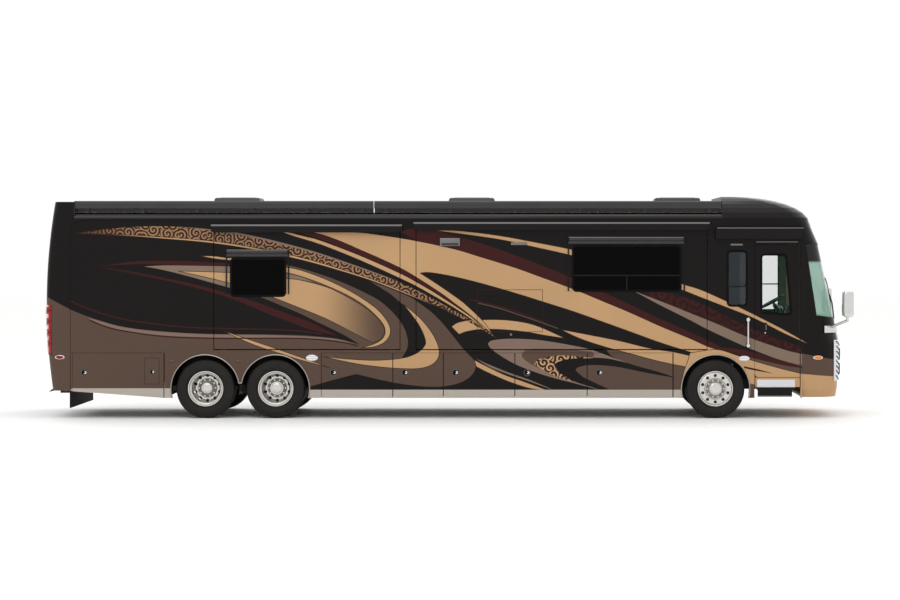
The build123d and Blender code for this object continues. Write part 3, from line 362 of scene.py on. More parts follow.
def lens(name, shade, ribs, cells=None):
    """Lamp lens with moulded ribs that glows a little; cells is the colour of the painted highlights on a tail lamp.
    """
    made = Finish(name, specular=0.3, emission_strength=0.08)
    x, _, z = made.axes()
    rib = (z * ribs).apply("SINE")
    base = made.mix(rib.smooth(-1, 1), tinted(shade, 0.6), shade)
    if cells:
        low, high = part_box("tail_lamps")
        wave = ((z - high.z) * (2 * math.pi / TAIL_CELL)).apply("COSINE")
        # Painted highlights: a pale patch in each cell, toward the lamp's rear edge
        clear = wave.smooth(0.1, 0.6) * (1 - x.smooth(low.x + 0.03, low.x + 0.08))
        groove = (0 - wave).smooth(0.82, 0.95)
        base = made.mix(groove, made.mix(clear, base, cells), tinted(shade, 0.2))
    made.set(base_color=base, emission_color=shade, roughness=0.1 + 0.05 * rib)
    return made.bump(rib, 0.3, 0.003)


# Where the scroll comes in and where the leaf darkens, along the vehicle
SCROLL_FADE = tuple(from_photo(x, 0)[0] for x in (60, 150))
LEAF_FADE = tuple(from_photo(x, 0)[0] for x in (312, 384))


def make_finishes(paints):
    """All the finishes, by name."""
    add = FINISHES.update
    shades = {name: tuple(getattr(paints, name)) for name in COACH_PG_paints.__annotations__}
    add({name: paint(f"paint_{name}", shade) for name, shade in shades.items()})
    tan, burgundy, black, taupe = (shades[name] for name in ("tan", "burgundy", "black", "taupe"))
    add({"scroll": paint("paint_scroll", tinted(burgundy, 0.85), tinted(tan, 0.6),
                         lambda f: scroll_mask(f, 0.165, 0.06, SCROLL_FADE)),
         "scroll_small": paint("paint_scroll_small", tinted(burgundy, 0.45), tan,
                               lambda f: scroll_mask(f, 0.17, 0.07)),
         "ghost": paint("paint_ghost", tinted(burgundy, 0.5), tinted(burgundy, 0.95),
                        lambda f: scroll_mask(f, 0.3, 0.11)),
         "leaf": paint("paint_leaf", tan, taupe, lambda f: f.axes()[0].smooth(*LEAF_FADE)),
         "front_cap": cap_paint("paint_front_cap", black, WALL_FRONT_X, 1, ((taupe, FRONT_BROWN), (tan, FRONT_TAN))),
         "rear_cap": cap_paint("paint_rear_cap", black, WALL_REAR_X, -1, ((taupe, REAR_BROWN),))})
    # The sill's coarse, stretched grain paints a mottled reflection into its colour
    add({"sill": metal("stainless_sill", linear(176, 168, 158), 0.34, (2.0, 1, 7), 11.0, 0.0004),
         "chrome": metal("chrome", linear(216, 214, 212), 0.09, scale=14.0),
         **{f"alloy_{name}": wheel_alloy(f"alloy_{name}", *place) for name, place in WHEEL_FACES.items()},
         "dull_metal": metal("anodised_rail", linear(120, 117, 116), 0.38, (0.4, 20, 20), 40.0),
         "kick": metal("kick_plate", linear(214, 214, 218), 0.42, (0.5, 8, 30), 30.0, 0.0004),
         "mirror": metal("mirror_glass", linear(205, 208, 212), 0.03, scale=4.0),
         "cast": plastic("cast_iron", linear(78, 77, 76), 0.6, 120.0, 0.002),
         "chassis": plastic("chassis_black", linear(27, 27, 28), 0.5, 90.0, 0.001, 1.7),
         "black_plastic": plastic("black_plastic", linear(16, 16, 16), 0.35, shine=0.14),
         "case": plastic("awning_case", linear(50, 47, 47), 0.3, 600.0, 0.0002, 1.15, 0.3),
         "topper": plastic("topper_case", linear(20, 17, 17), 0.4, 600.0, 0.0002, 1.15, 0.12),
         "inner_wall": plastic("cabin_vinyl", linear(104, 93, 80), 0.55, 300.0, 0.0006, 1.1),
         "trim_brown": plastic("moulded_trim", linear(176, 158, 130), 0.55, 260.0, 0.0012, 1.1),
         "dash": plastic("dash_grain", linear(44, 39, 35), 0.5, 340.0, 0.0012, 1.2),
         "bay_lining": plastic("bay_lining", linear(70, 70, 70), 0.7, 150.0, 0.0014, 1.3),
         "floor": plastic("cabin_floor", linear(118, 98, 78), 0.4, 40.0, 0.0006, 1.2),
         "roof": plastic("roof_membrane", linear(206, 205, 200), 0.6, 60.0, 0.0014, 0.86),
         "unit": plastic("unit_shell", linear(64, 63, 62), 0.42, 300.0, 0.0006, 1.1),
         "unit_dark": plastic("unit_grille", linear(46, 46, 46), 0.6),
         "seal": plastic("seal_rubber", linear(9, 9, 9), 0.7, 240.0, 0.0008, 1.5, 0.08),
         "tyre": plastic("tyre_rubber", linear(22, 19, 17), 0.55, 240.0, 0.0012, 1.5, 0.24),
         "leather": leather("seat_leather", linear(120, 92, 66)),
         "tinted": glass("tinted_glass", linear(1, 1, 1), 0.985, shine=0.05),
         "cab_glass": glass("cab_glass", linear(44, 50, 54), 0.86, shine=0.15),
         "door_glass": glass("door_glass", linear(60, 100, 84), 0.085, shine=0.15),
         "screen": screen_glass("windshield_glass", linear(150, 196, 176), 0.42, linear(18, 18, 19)),
         "lamp_clear": lens("lamp_clear", linear(226, 228, 230), 180.0),
         "lamp_red": lens("lamp_red", linear(138, 14, 16), 210.0),
         # The tail lens's pale second colour is its painted highlights
         "tail_lens": lens("tail_lens", linear(150, 16, 18), 210.0, linear(228, 205, 198)),
         "lamp_amber": lens("lamp_amber", linear(235, 140, 40), 260.0)})


def leather(name, shade):
    made = Finish(name, specular=0.35, sheen_weight=0.08)
    pores = made.node("ShaderNodeTexVoronoi", {"feature": "DISTANCE_TO_EDGE"},
                      {"Vector": made.place(), "Scale": 260.0})
    wear = made.noise(6.0, 3.0)
    made.set(base_color=made.mix(wear.smooth(0.4, 0.7), tinted(shade, 0.82), shade),
             roughness=0.5 + 0.12 * (wear - 0.5))
    return made.bump(pores.smooth(0.0, 0.12), 0.4, 0.0016)


# Boundaries of the cap colours: height at the wall's seam, rise per metre away from it, and the limit of the height
FRONT_BROWN = (1.121, -0.19, 1.022)
FRONT_TAN = (0.771, -0.09, 0.716)
REAR_BROWN = (1.885, 0.53, 2.09)


def cap_paint(name, shade, seam_x, outward, fields):
    """Cap in one colour above, and others below lines that run from the wall's seam."""
    made = paint(name, shade)
    x, _, z = made.axes()
    base, cloud = made.base(), made.noise(0.7, 2.0)
    away = (x - seam_x) * outward
    for lower, (start, slope, limit) in fields:
        edge = (start + away * slope).apply("MAXIMUM" if slope < 0 else "MINIMUM", limit)
        base = made.mix(z < edge, base, made.clouded(cloud, lower))
    return made.set(base_color=base)


# Meshes

class Form:
    """Mesh of one piece, made of boxes, turned shapes, prisms and tubes, each with its own finish."""

    def __init__(self):
        self.bm = bmesh.new()
        self.used = []

    def _finish(self, faces, finish):
        if finish not in self.used:
            self.used.append(finish)
        for face in faces:
            face.material_index = self.used.index(finish)

    def box(self, low, high, finish, bevel=0.0, spin=None):
        """Box between two corners with eased edges, turned by a matrix about its middle."""
        before = set(self.bm.faces)
        verts = bmesh.ops.create_cube(self.bm, size=1.0)["verts"]
        low, high = Vector(low), Vector(high)
        size = Vector(abs(c) for c in high - low)
        turn = spin.to_4x4() if spin else Matrix()
        place = Matrix.Translation((low + high) / 2) @ turn @ Matrix.Diagonal((*size, 1))
        bmesh.ops.transform(self.bm, matrix=place, verts=verts)
        if bevel:
            edges = dict.fromkeys(edge for vert in verts for edge in vert.link_edges)
            bmesh.ops.bevel(self.bm, geom=list(edges), offset=bevel, segments=2, profile=0.6, affect="EDGES")
        self._finish([f for f in self.bm.faces if f not in before], finish)

    def grid(self, rows, finish, close_rows=False, close_columns=False):
        """Faces between rows of points of equal length."""
        rings = [[self.bm.verts.new(point) for point in row] for row in rows]
        faces = []
        count, width = len(rings), len(rings[0])
        for r in range(count if close_rows else count - 1):
            for c in range(width if close_columns else width - 1):
                a, b = rings[r], rings[(r + 1) % count]
                d = (c + 1) % width
                faces.append(self.bm.faces.new((a[c], a[d], b[d], b[c])))
        self._finish(faces, finish)
        return rings

    def lathe(self, outline, origin, axis, finish, steps=32):
        """Turns an outline of (place along the axis, radius) pairs about an axis."""
        axis = Vector(axis).normalized()
        across = axis.orthogonal().normalized()
        up = axis.cross(across)
        rows = []
        for step in range(steps):
            angle = 2 * math.pi * step / steps
            out = across * math.cos(angle) + up * math.sin(angle)
            rows.append([Vector(origin) + axis * along + out * radius for along, radius in outline])
        self.grid(rows, finish, close_rows=True)

    def prism(self, outline, base, finish, depth, bevel=0.0):
        """Flat outline of points in the frame, pushed by a depth vector, with its outer edges eased."""
        before = set(self.bm.faces)
        depth = Vector(depth)
        verts = [self.bm.verts.new(Vector(base) + Vector(point)) for point in outline]
        bottom = self.bm.faces.new(verts)
        made = bmesh.ops.extrude_face_region(self.bm, geom=[bottom])
        top = [v for v in made["geom"] if isinstance(v, bmesh.types.BMVert)]
        bmesh.ops.translate(self.bm, verts=top, vec=depth)
        if bevel:
            edges = [e for e in self.bm.edges if all(v in top for v in e.verts)]
            bmesh.ops.bevel(self.bm, geom=edges, offset=bevel, segments=2, profile=0.6, affect="EDGES")
        self._finish([f for f in self.bm.faces if f not in before], finish)

    def tube(self, points, radius, finish, sides=10):
        """Round bar along points, its ends closed."""
        points = [Vector(p) for p in points]
        rows, across = [], None
        for n, point in enumerate(points):
            ahead = (points[min(n + 1, len(points) - 1)] - points[max(n - 1, 0)]).normalized()
            across = ahead.orthogonal() if across is None else across - ahead * across.dot(ahead)
            across.normalize()
            up = ahead.cross(across)
            rows.append([point + (across * math.cos(a) + up * math.sin(a)) * radius
                         for a in (2 * math.pi * k / sides for k in range(sides))])
        rings = self.grid(rows, finish, close_columns=True)
        self._finish([self.bm.faces.new(rings[0][::-1]), self.bm.faces.new(rings[-1])], finish)

    def pillow(self, low, high, finish, crown, spin=None, hardness=5.0, cuts=9):
        """Padded block: rounded sides that pull in, and a crowned top."""
        before = set(self.bm.faces)
        old = set(self.bm.verts)
        bmesh.ops.create_cube(self.bm, size=2.0)
        fresh = [e for e in self.bm.edges if e.verts[0] not in old]
        bmesh.ops.subdivide_edges(self.bm, edges=fresh, cuts=cuts, use_grid_fill=True)
        low, high = Vector(low), Vector(high)
        half, middle = (high - low) / 2, (high + low) / 2
        for vert in self.bm.verts:
            if vert in old:
                continue
            x, y, z = vert.co
            shrink = (abs(x) ** hardness + abs(y) ** hardness + abs(z) ** hardness) ** (-1 / hardness)
            x, y, z = x * shrink, y * shrink, z * shrink
            puff = (1 - x * x) * (1 - y * y)
            point = Vector((x * half.x, y * half.y, z * (half.z - crown) + max(z, 0) * crown * puff))
            vert.co = middle + (spin @ point if spin else point)
        self._finish([f for f in self.bm.faces if f not in before], finish)

    def done(self, name, body, slot=None, sharp=38.0, level=0):
        """Closes the mesh into an object that rides on a body."""
        bmesh.ops.remove_doubles(self.bm, verts=self.bm.verts, dist=2e-6)
        bmesh.ops.recalc_face_normals(self.bm, faces=self.bm.faces)
        return piece(name, body, self.bm, self.used, sharp, level)


def piece(name, body, bm, finishes, sharp=38.0, level=0):
    """Object of a bmesh, with its finishes, smooth but for sharp edges, riding on a body."""
    mesh = bpy.data.meshes.new(name)
    bm.to_mesh(mesh)
    bm.free()
    for finish in finishes:
        mesh.materials.append(FINISHES[finish].material)
    mesh.shade_smooth()
    mesh.set_sharp_from_angle(angle=math.radians(sharp))
    made = bpy.data.objects.new(name, mesh)
    bpy.context.scene.collection.objects.link(made)
    if level:
        rounder = made.modifiers.new("round", "SUBSURF")
        rounder.levels = rounder.render_levels = level
    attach(made, body)
    return made


TREES = {}


def land(node, start, direction):
    """Where a straight line from a point first meets a CAD node, and the surface's normal there."""
    if node not in TREES:
        mesh = NODES[node].data
        TREES[node] = BVHTree.FromPolygons([v.co for v in mesh.vertices], [tuple(p.vertices) for p in mesh.polygons])
    point, normal, _, _ = TREES[node].ray_cast(Vector(start), Vector(direction).normalized())
    if point is None:
        raise RuntimeError(f"nothing of {node} lies that way")
    return point, normal


def set_finish(node, default, parts=()):
    """Gives a CAD node its finish, and other finishes to the faces that a test picks."""
    mesh = NODES[node].data
    mesh.materials.clear()
    for finish in (default, *(finish for finish, _ in parts)):
        mesh.materials.append(FINISHES[finish].material)
    for face in mesh.polygons:
        face.material_index = 0
        for index, (_, test) in enumerate(parts, 1):
            if test(face.center, face.normal):
                face.material_index = index


# Stripes from the lowest coat to the highest: name of the paint, then the outline's smooth runs in pixels of the
# photograph. Each run goes from one corner up to the next, which is the first point of the run that follows.
LOWER_FIELD = [(40, 293), (51.5, 299.5), (60, 304.3), (70, 309.3), (80, 313.6), (90, 317.3), (100, 320.6),
               (120, 326.1), (145, 329.8), (180, 332.6), (214, 334), (270, 334.6), (300, 335.2), (320, 336.8),
               (340, 339.2)]
SPEAR_TOP = [(360, 344.5), (345, 335.5), (330, 328), (316, 321.3), (300, 313.5), (280, 305), (262, 297.5)]
CRESCENT = [(286, 264.5), (310, 271), (330, 277.6), (350, 285.7), (372, 296.3), (382, 302.6), (392, 311.6),
            (400, 321), (405.5, 331), (408, 342), (406.5, 350)]
HOOK_MIDDLE = [(401.5, 358.4), (408, 363), (422, 361.5), (431, 354), (431.5, 344), (424, 328), (414, 315.5)]
LOBE = [(370, 281.2), (390, 288.6), (410, 297), (417, 301.5), (433, 313.5), (447, 328.5), (463, 348.5),
        (474.3, 360.5), (475.7, 366), (473, 373.5), (465, 380.3), (452, 385), (435, 386.8), (415, 385.6),
        (390, 381.8)]
WEDGE = [(356, 374), (335, 379.4), (316, 384.8), (306, 387.8)]
BAND_TOP = [(303, 231), (330, 231.3), (360, 232.5), (380, 235), (400, 238), (416, 240.8), (440, 245.7), (460, 250.5),
            (480, 256.7), (500, 262.8), (520, 269.3), (540, 276.6), (573, 288.8), (600, 300), (630, 312.5),
            (660, 326), (690, 338.5), (708, 346.6)]
BAND_LOW = [(722, 350.8), (702, 355.5), (690, 352), (660, 342.5), (630, 331.6), (600, 320.8), (573, 311.3),
            (545, 302.4), (515, 293), (480, 283), (452, 276.2), (430, 272.5)]
BAND_TAIL = [(420, 273), (440, 286), (460, 300), (470, 308.5), (480, 318), (487, 326)]
BAND_BACK = [(493, 335), (482, 325), (470, 315), (455, 303.5), (440, 292.5), (416, 277), (400, 267.8), (380, 258.4),
             (360, 249.7), (340, 241), (320, 234)]
STRIPES = (
    ("taupe", [LOWER_FIELD, SPEAR_TOP, [(250, 293.5), (250, 268)], CRESCENT, HOOK_MIDDLE,
               [(403.5, 305), (390, 293.5)], LOBE, WEDGE, [(298, 391), (298, 402), (40, 402)]]),
    ("rose", [[(88, 317.6), (100, 321), (120, 326.5), (145, 330.2), (180, 333), (214, 334.4), (270, 335),
               (320, 337.3), (340, 339.8)],
              [(358, 345.5), (335, 340.3), (300, 338), (240, 337.8), (180, 336.5), (145, 333.6), (120, 329.6),
               (100, 323.8)]]),
    ("burgundy", [[(96, 266.8), (130, 271.3), (170, 279), (200, 285.6), (230, 294), (250, 300), (270, 307),
                   (290, 314.7), (310, 322)],
                  [(338, 336), (310, 329.5), (290, 322), (270, 314.5), (250, 306), (230, 298), (200, 289),
                   (170, 281.7), (130, 273)]]),
    ("burgundy", [[(96, 266.5), (110, 264.8), (130, 261.8), (150, 260.8), (184, 261)], [(232, 263.5)],
                  [(232, 266.4), (184, 264.9), (150, 264.2), (130, 264.4)]]),
    ("khaki", [[(144, 266.5), (165, 265.4), (200, 265.8)], [(232, 266.5)],
               [(232, 288.4), (214, 283.3), (184, 275), (160, 269.2)]]),
    ("tan", [[(178, 271), (200, 271.5)], [(232, 272.6)], [(232, 283.6), (205, 277)]]),
    ("tan", [[(200, 255.8), (214, 256.1), (226, 257.6)], [(238, 258)], [(234, 260.8), (214, 258.6)]]),
    ("khaki", [[(282, 272.5), (300, 276.8)], [(314, 282), (300, 279.6)], [(282, 277.5)]]),
    ("leaf", [[(283, 278.2), (300, 280), (325, 286.5), (340, 293), (360, 304.2), (370, 311.2), (378, 318.6),
               (383, 325.6), (384.6, 331.5), (381.5, 338.6)],
              [(373, 343), (350, 331), (335, 323), (320, 316), (290, 304)], [(262, 293)]]),
    ("tan", [[(282, 266.4), (300, 270), (325, 279), (350, 291), (370, 303.6), (380, 312), (387, 321), (390.3, 329),
              (389.3, 336), (384, 342.5), (374, 346.7)],
             [(361, 347.9), (374, 344), (382.5, 338.5), (385.2, 331.5), (382, 322.5), (368, 308.3), (350, 296.5),
              (325, 285), (300, 276)], [(282, 271.6)]]),
    ("tan", [[(403, 304), (416, 314.5), (424, 322.5), (432, 333), (437.5, 344), (439.2, 353), (436.5, 360.5),
              (429, 366), (415, 368.7), (390, 367.8), (360, 364.3), (335, 359.3)],
             [(323, 356.5), (345, 358.8), (375, 360.3), (402, 358.2), (416, 353.5), (424, 346.8), (425.5, 340),
              (420, 326.8), (411, 313.7)]]),
    ("tan", [[(223, 330.5), (240, 336.4), (260, 343.2), (280, 350), (300, 357), (316, 362.6)],
             [(330, 368), (316, 364), (300, 359.8), (280, 353.4), (260, 347), (240, 338.9)]]),
    ("rose", [[(476, 358.6), (490, 365), (510, 373), (530, 380)],
              [(556, 391), (530, 381.6), (510, 374.8), (490, 367)]]),
    ("tan", [[(474.5, 360), (485, 365.5), (505, 375), (525, 382)],
             [(548, 390.5), (530, 388.3), (510, 382), (490, 373.5)], [(476.3, 366.6)]]),
    ("tan", [[(451.5, 326.6), (457, 323), (466, 320.8), (480, 319.9), (500, 319.7), (522, 322), (540, 327)],
             [(565, 338.3), (545, 335.3), (525, 331.7), (500, 329.4), (480, 329.4), (467, 331.4)], [(459, 334.2)]]),
    ("rose", [[(488, 343.5), (493, 340.2), (512, 338.7), (540, 340.2), (570, 345), (592, 350), (620, 360),
               (645, 367.3)], [(657, 371), (630, 365.5), (605, 358.8), (592, 357.8)], [(575, 352), (560, 376)],
              [(600, 390), (575, 383.3), (555, 378.3), (535, 372), (515, 364), (498, 354), (490, 347.3)]]),
    ("taupe", [[(521.5, 354.6), (525, 350.5), (533, 348.9), (560, 349)], [(592, 351.6), (592, 357.6)],
               [(560, 376), (545, 370.6), (530, 363.5), (523, 358)]]),
    ("black", [[(554.5, 364.7), (562, 360.2), (580, 358), (605, 358.2), (630, 363.6), (660, 372.3)],
               [(676, 378), (640, 376)], [(612, 391), (590, 386.5), (572, 380.5), (560, 373)]]),
    ("taupe", [[(575.5, 370.3), (579, 367), (592, 365), (617, 366.8), (645, 372.5)],
               [(676, 378), (660, 372.3), (630, 363.8), (612, 356)], [(606, 349), (620, 351), (665, 360)],
               [(692, 365), (692, 402), (612, 402)], [(612, 390.5), (595, 382.8), (583, 377)]]),
    ("scroll_small", [[(534.3, 363.8), (537, 360), (548, 356.8), (565, 355.5)],
                      [(594, 358), (570, 358.8), (558, 362), (554.5, 365.2), (560, 373)],
                      [(574, 381.8), (557, 376.5), (544, 370.3)]]),
    ("tan", [[(561, 329.5), (590, 335), (620, 341), (650, 348.3), (675, 352.3)], [(700, 358.2)],
             [(692, 368), (660, 361.5), (630, 353.5), (605, 346.8), (580, 338.5)]]),
    ("burgundy", [[(398, 231.3), (412, 229), (428, 229.5), (455, 236), (485, 244.6), (520, 257), (560, 272.8),
                   (590, 286.5), (620, 299.8), (650, 314.2), (680, 327.6), (707, 340)],
                  [(726, 349.5), (700, 348), (660, 332), (613, 311), (573, 294), (530, 279), (490, 265),
                   (440, 250)]]),
    ("burgundy", [[(291, 229.5), (305, 231.5), (320, 233.6), (360, 249.7), (400, 267.8), (430, 285.8)],
                  [(462, 309), (430, 289), (416, 281), (380, 263.6), (340, 246.6), (320, 239)]]),
    ("tan", [[(276, 229), (305, 236.4), (320, 240.3), (360, 255.5), (400, 273.3), (420, 284), (440, 296), (470, 316)],
             [(483, 327.5), (455, 308.5), (420, 288.2), (400, 278.3), (360, 260.2), (320, 244.3), (290, 235)]]),
    ("tan", [BAND_TOP, BAND_LOW, BAND_TAIL, BAND_BACK]),
    ("tan", [[(432, 230.3), (460, 230.8), (500, 235.8), (540, 243.2), (573, 249.8), (610, 259), (645, 270),
              (681, 283.5), (700, 289.5), (725, 300.5), (745, 310), (765, 320), (785, 330.3)],
             [(811, 345.2), (785, 333.8), (755, 318.7), (727, 307.5), (700, 297), (681, 289.5), (645, 277),
              (610, 265.5), (573, 255.7), (530, 246), (500, 239.5), (460, 233.7)]]),
    ("ghost", [[(640, 288), (670, 293), (700, 303), (730, 318), (760, 332)],
               [(812, 351), (800, 356), (755, 342), (707, 322), (660, 303)]]),
    ("khaki", [[(634, 291), (660, 301), (690, 313), (716, 323.5), (745, 336), (770, 345), (790, 351.3)], [(812, 356)],
               [(812, 368), (785, 361.5), (755, 350.5), (735, 342), (707, 329), (690, 320), (660, 305)]]),
    ("taupe", [[(742, 354), (755, 356), (785, 361.5)], [(812, 367)], [(812, 376), (785, 370), (755, 361.5)],
               [(742, 358.5)]]),
    ("burgundy", [[(706, 346.2), (740, 349.3), (770, 356.7)],
                  [(809, 368.7), (785, 365.6), (755, 358.6), (735, 353.5)]]),
    ("tan", [[(690, 353), (716, 349.5), (736, 355), (755, 361.2), (785, 369.6)],
             [(812, 375.8), (812, 400), (690, 400)]]),
    ("edge", [[(744, 366.2), (757, 369)], [(774, 373.6), (757, 370.8)], [(744, 368)]]),
    ("taupe", [[(745, 383.4), (757, 386), (757, 402), (745, 402)]]),
    ("scroll", [[(76, 233.3), (105, 229.3), (135, 226.8), (165, 226.3), (195, 228), (225, 231.2), (255, 236.7),
                 (285, 244), (312, 251.3), (340, 260.5), (370, 271), (400, 282.3), (425, 294.5), (455, 311),
                 (480, 326)],
                [(497, 338.5), (480, 328.3), (455, 314.8), (425, 301.5), (400, 291.5), (370, 280), (340, 270.6),
                 (312, 262.5), (285, 256), (255, 249.7), (225, 244.7), (195, 241.2), (165, 238.7), (135, 236.3),
                 (105, 234.6)]]),
    ("tan", [[(76, 233.3), (105, 234.2), (135, 235.3), (165, 237.2), (195, 239.4), (225, 242.7), (255, 247.6),
              (285, 253.8), (312, 260.4), (340, 268.8), (370, 278.4), (400, 290)],
             [(455, 313.8), (400, 291.6), (370, 280.1), (340, 270.7), (312, 262.6), (285, 256.1), (255, 249.8),
              (225, 244.8), (195, 241.3), (165, 238.8), (135, 236.4), (105, 234.7)]]),
    ("rose", [[(180, 226.6), (225, 230.8), (255, 236.2), (285, 243.4), (312, 250.8), (340, 260), (370, 270.6)],
              [(400, 281.8), (370, 271.8), (340, 261.4), (312, 252.4), (285, 245.2), (255, 238), (225, 232.4)]]),
    ("sill", [[(72, 388.3)], [(170, 388.3), (170, 402), (72, 402)]]),
    ("sill", [[(304, 389.7)], [(690, 389.7), (690, 402), (304, 402)]]),
)
# Thin lines: paint, width in pixels, points along the middle
PIN_LINES = (
    ("burgundy", 1.3, [(66, 299), (90, 309.4), (110, 315.8), (130, 320.4), (160, 324.6), (185, 327), (214, 328.4),
                       (270, 329.4),
                       (300, 331), (322, 334)]),
    ("burgundy", 1.3, [(90, 320.5), (110, 328), (130, 331.9), (160, 336), (200, 338), (240, 338.3), (290, 338.2),
                       (320, 339.6),
                       (345, 342.7), (358, 346)]),
    ("taupe", 1.0, [(478, 303), (500, 308.5), (530, 318.5), (558, 328.5)]),
    ("burgundy", 1.1, [(470, 299.5), (510, 309.5), (545, 322.5)]),
    ("seal", 0.45, [(70.4, 392), (70.3, 300), (70.4, 236), (71.6, 228), (75, 223), (81, 220.8), (92, 220.2),
                    (140, 220.2), (205, 220.2)]),
)
EDGED = ("tan", "leaf")
RUN_STEPS = 5
PAINTED = ["side_wall", "skirt_panels", "coach_floor", "front_cap", "entry_door", "bay_door", "slideout"]


def smooth_run(points):
    """Points along a smooth curve through the given ones, without the last."""
    if len(points) == 2:
        return points[:1]
    out = []
    for n in range(len(points) - 1):
        before, start = Vector(points[max(n - 1, 0)]), Vector(points[n])
        end, after = Vector(points[n + 1]), Vector(points[min(n + 2, len(points) - 1)])
        for step in range(RUN_STEPS):
            t = step / RUN_STEPS
            out.append(tuple(0.5 * ((2 * start) + (end - before) * t
                                    + (2 * before - 5 * start + 4 * end - after) * t * t
                                    + (3 * start - before - 3 * end + after) * t ** 3)))
    return out


def facing(outline):
    """The outline run counterclockwise."""
    area = sum(a[0] * b[1] - b[0] * a[1] for a, b in zip(outline, outline[1:] + outline[:1]))
    return outline if area > 0 else outline[::-1]


def strip(line, width):
    """Quads along a line of places."""
    out = []
    for n in range(len(line) - 1):
        start, end = Vector(line[n]), Vector(line[n + 1])
        across = (end - start).orthogonal().normalized() * width / 2
        out.append(facing([tuple(start + across), tuple(end + across), tuple(end - across), tuple(start - across)]))
    return out


def stripe_faces(edge_line):
    """Every stripe as outlines in metres on the side's plane, from the lowest coat to the highest."""
    faces = []
    for finish, runs in STRIPES:
        outline = []
        for run, after in zip(runs, runs[1:] + runs[:1]):
            run = run + after[:1]
            curved = len(run) > 4 or len(runs) < 4
            outline += [from_photo(*point) for point in (smooth_run(run) if curved else run[:-1])]
        faces.append((finish, facing(outline)))
        if finish in EDGED:
            faces += [("edge", quad) for quad in strip(outline + outline[:1], edge_line)]
    for finish, width, line in PIN_LINES:
        places = [from_photo(*p) for p in smooth_run(line) + line[-1:]]
        faces += [(finish, quad) for quad in strip(places, width * PHOTO_SCALE)]
    return faces


def outer_triangles(node, side):
    """A node's flat faces on the side's plane, in place along the vehicle and height."""
    mesh = NODES[node].data
    for face in mesh.polygons:
        points = [mesh.vertices[v].co for v in face.vertices]
        if face.normal.y * side > 0.999 and all(abs(p.y - side * HALF_W) < 2e-4 for p in points):
            yield facing([(p.x, p.z) for p in points])


class COACH_OT_stripes(bpy.types.Operator):
    """Lay the stripes on the body panels, each on the panel that carries it"""
    bl_idname = "coach.stripes"
    bl_label = "Stripes"

    def execute(self, context):
        sizes = context.scene.coach_sizes
        stripes = stripe_faces(sizes.edge_line)
        for node in NODES:
            if any(node.startswith(start) for start in PAINTED) and not node.endswith("glass"):
                for name, side in SIDES.items():
                    self.lay(node, name, side, stripes, sizes.film)
        return {"FINISHED"}

    def lay(self, node, name, side, stripes, film):
        panel = list(outer_triangles(node, side))
        if not panel:
            return
        low = [min(p[k] for t in panel for p in t) for k in (0, 1)]
        high = [max(p[k] for t in panel for p in t) for k in (0, 1)]
        near = [(finish, outline) for finish, outline in stripes
                if all(max(p[k] for p in outline) > low[k] and min(p[k] for p in outline) < high[k] for k in (0, 1))]
        points, faces = [], []
        for outline in panel + [outline for _, outline in near]:
            faces.append(list(range(len(points), len(points) + len(outline))))
            points += [Vector(p) for p in outline]
        places, _, cells, _, _, origins = delaunay_2d_cdt(points, [], faces, 1, 1e-6)
        bm = bmesh.new()
        used, verts = [], {}
        for cell, origin in zip(cells, origins):
            top = max(origin, default=-1)
            if top < len(panel) or min(origin) >= len(panel):
                continue
            finish = near[top - len(panel)][0]
            if finish == "black":
                continue
            if finish not in used:
                used.append(finish)
            ring = []
            for v in cell if side == RIGHT else cell[::-1]:
                if v not in verts:
                    verts[v] = bm.verts.new((places[v].x, side * (HALF_W + film), places[v].y))
                ring.append(verts[v])
            bm.faces.new(ring).material_index = used.index(finish)
        if used:
            piece(f"stripes_{node}_{name}", BODY_OF[node], bm, used)
        else:
            bm.free()


# Finishes of the CAD nodes

# Awning case over the entry door: its ends along the vehicle and its top
DOOR_AWNING_X = tuple(from_photo(x, 0)[0] for x in (716.8, 803))
DOOR_AWNING_TOP = from_photo(0, 227.6)[1]
# How far the riser under the entry door stands back from the body's side
RISER_SET_BACK = 0.006
# Nodes of one finish
PLAIN = {"chassis_frame": "chassis", "hitch_receiver": "chassis", "engine": "cast", "axles": "chassis",
         "air_springs": "seal", "basement": "bay_lining", "roof_units": "unit", "windshield": "screen",
         "grille": "chrome", "headlamps": "lamp_clear", "mirrors": "chrome", "tail_lamps": "tail_lens",
         "mud_flap": "seal", "dashboard": "dash", "cab_seats": "leather", "steering_wheel": "black_plastic",
         "entry_step": "black_plastic", "entry_door_glass": "door_glass", "skirt_panels": "black"}
# Points inside the caps, from which their outer faces look away
FRONT_INSIDE = Vector((WALL_FRONT_X - 0.6, 0, 2.0))
REAR_INSIDE = Vector((WALL_REAR_X + 0.5, 0, 2.0))


def panel_face(p, n):
    """Outer face or edge of a wall or door."""
    return abs(p.y) > HALF_W - 0.002 or abs(n.y) < 0.5 and abs(p.y) > HALF_W - 0.2


def riser(p, n):
    return n.y < -0.9 and abs(p.y + HALF_W - RISER_SET_BACK) < 0.002


def roof_edge(p, n):
    """Rolled outer edge of the roof."""
    return -0.2 < n.z < 0.97 and abs(p.y) > HALF_W - 0.13 and n.y * p.y > 0


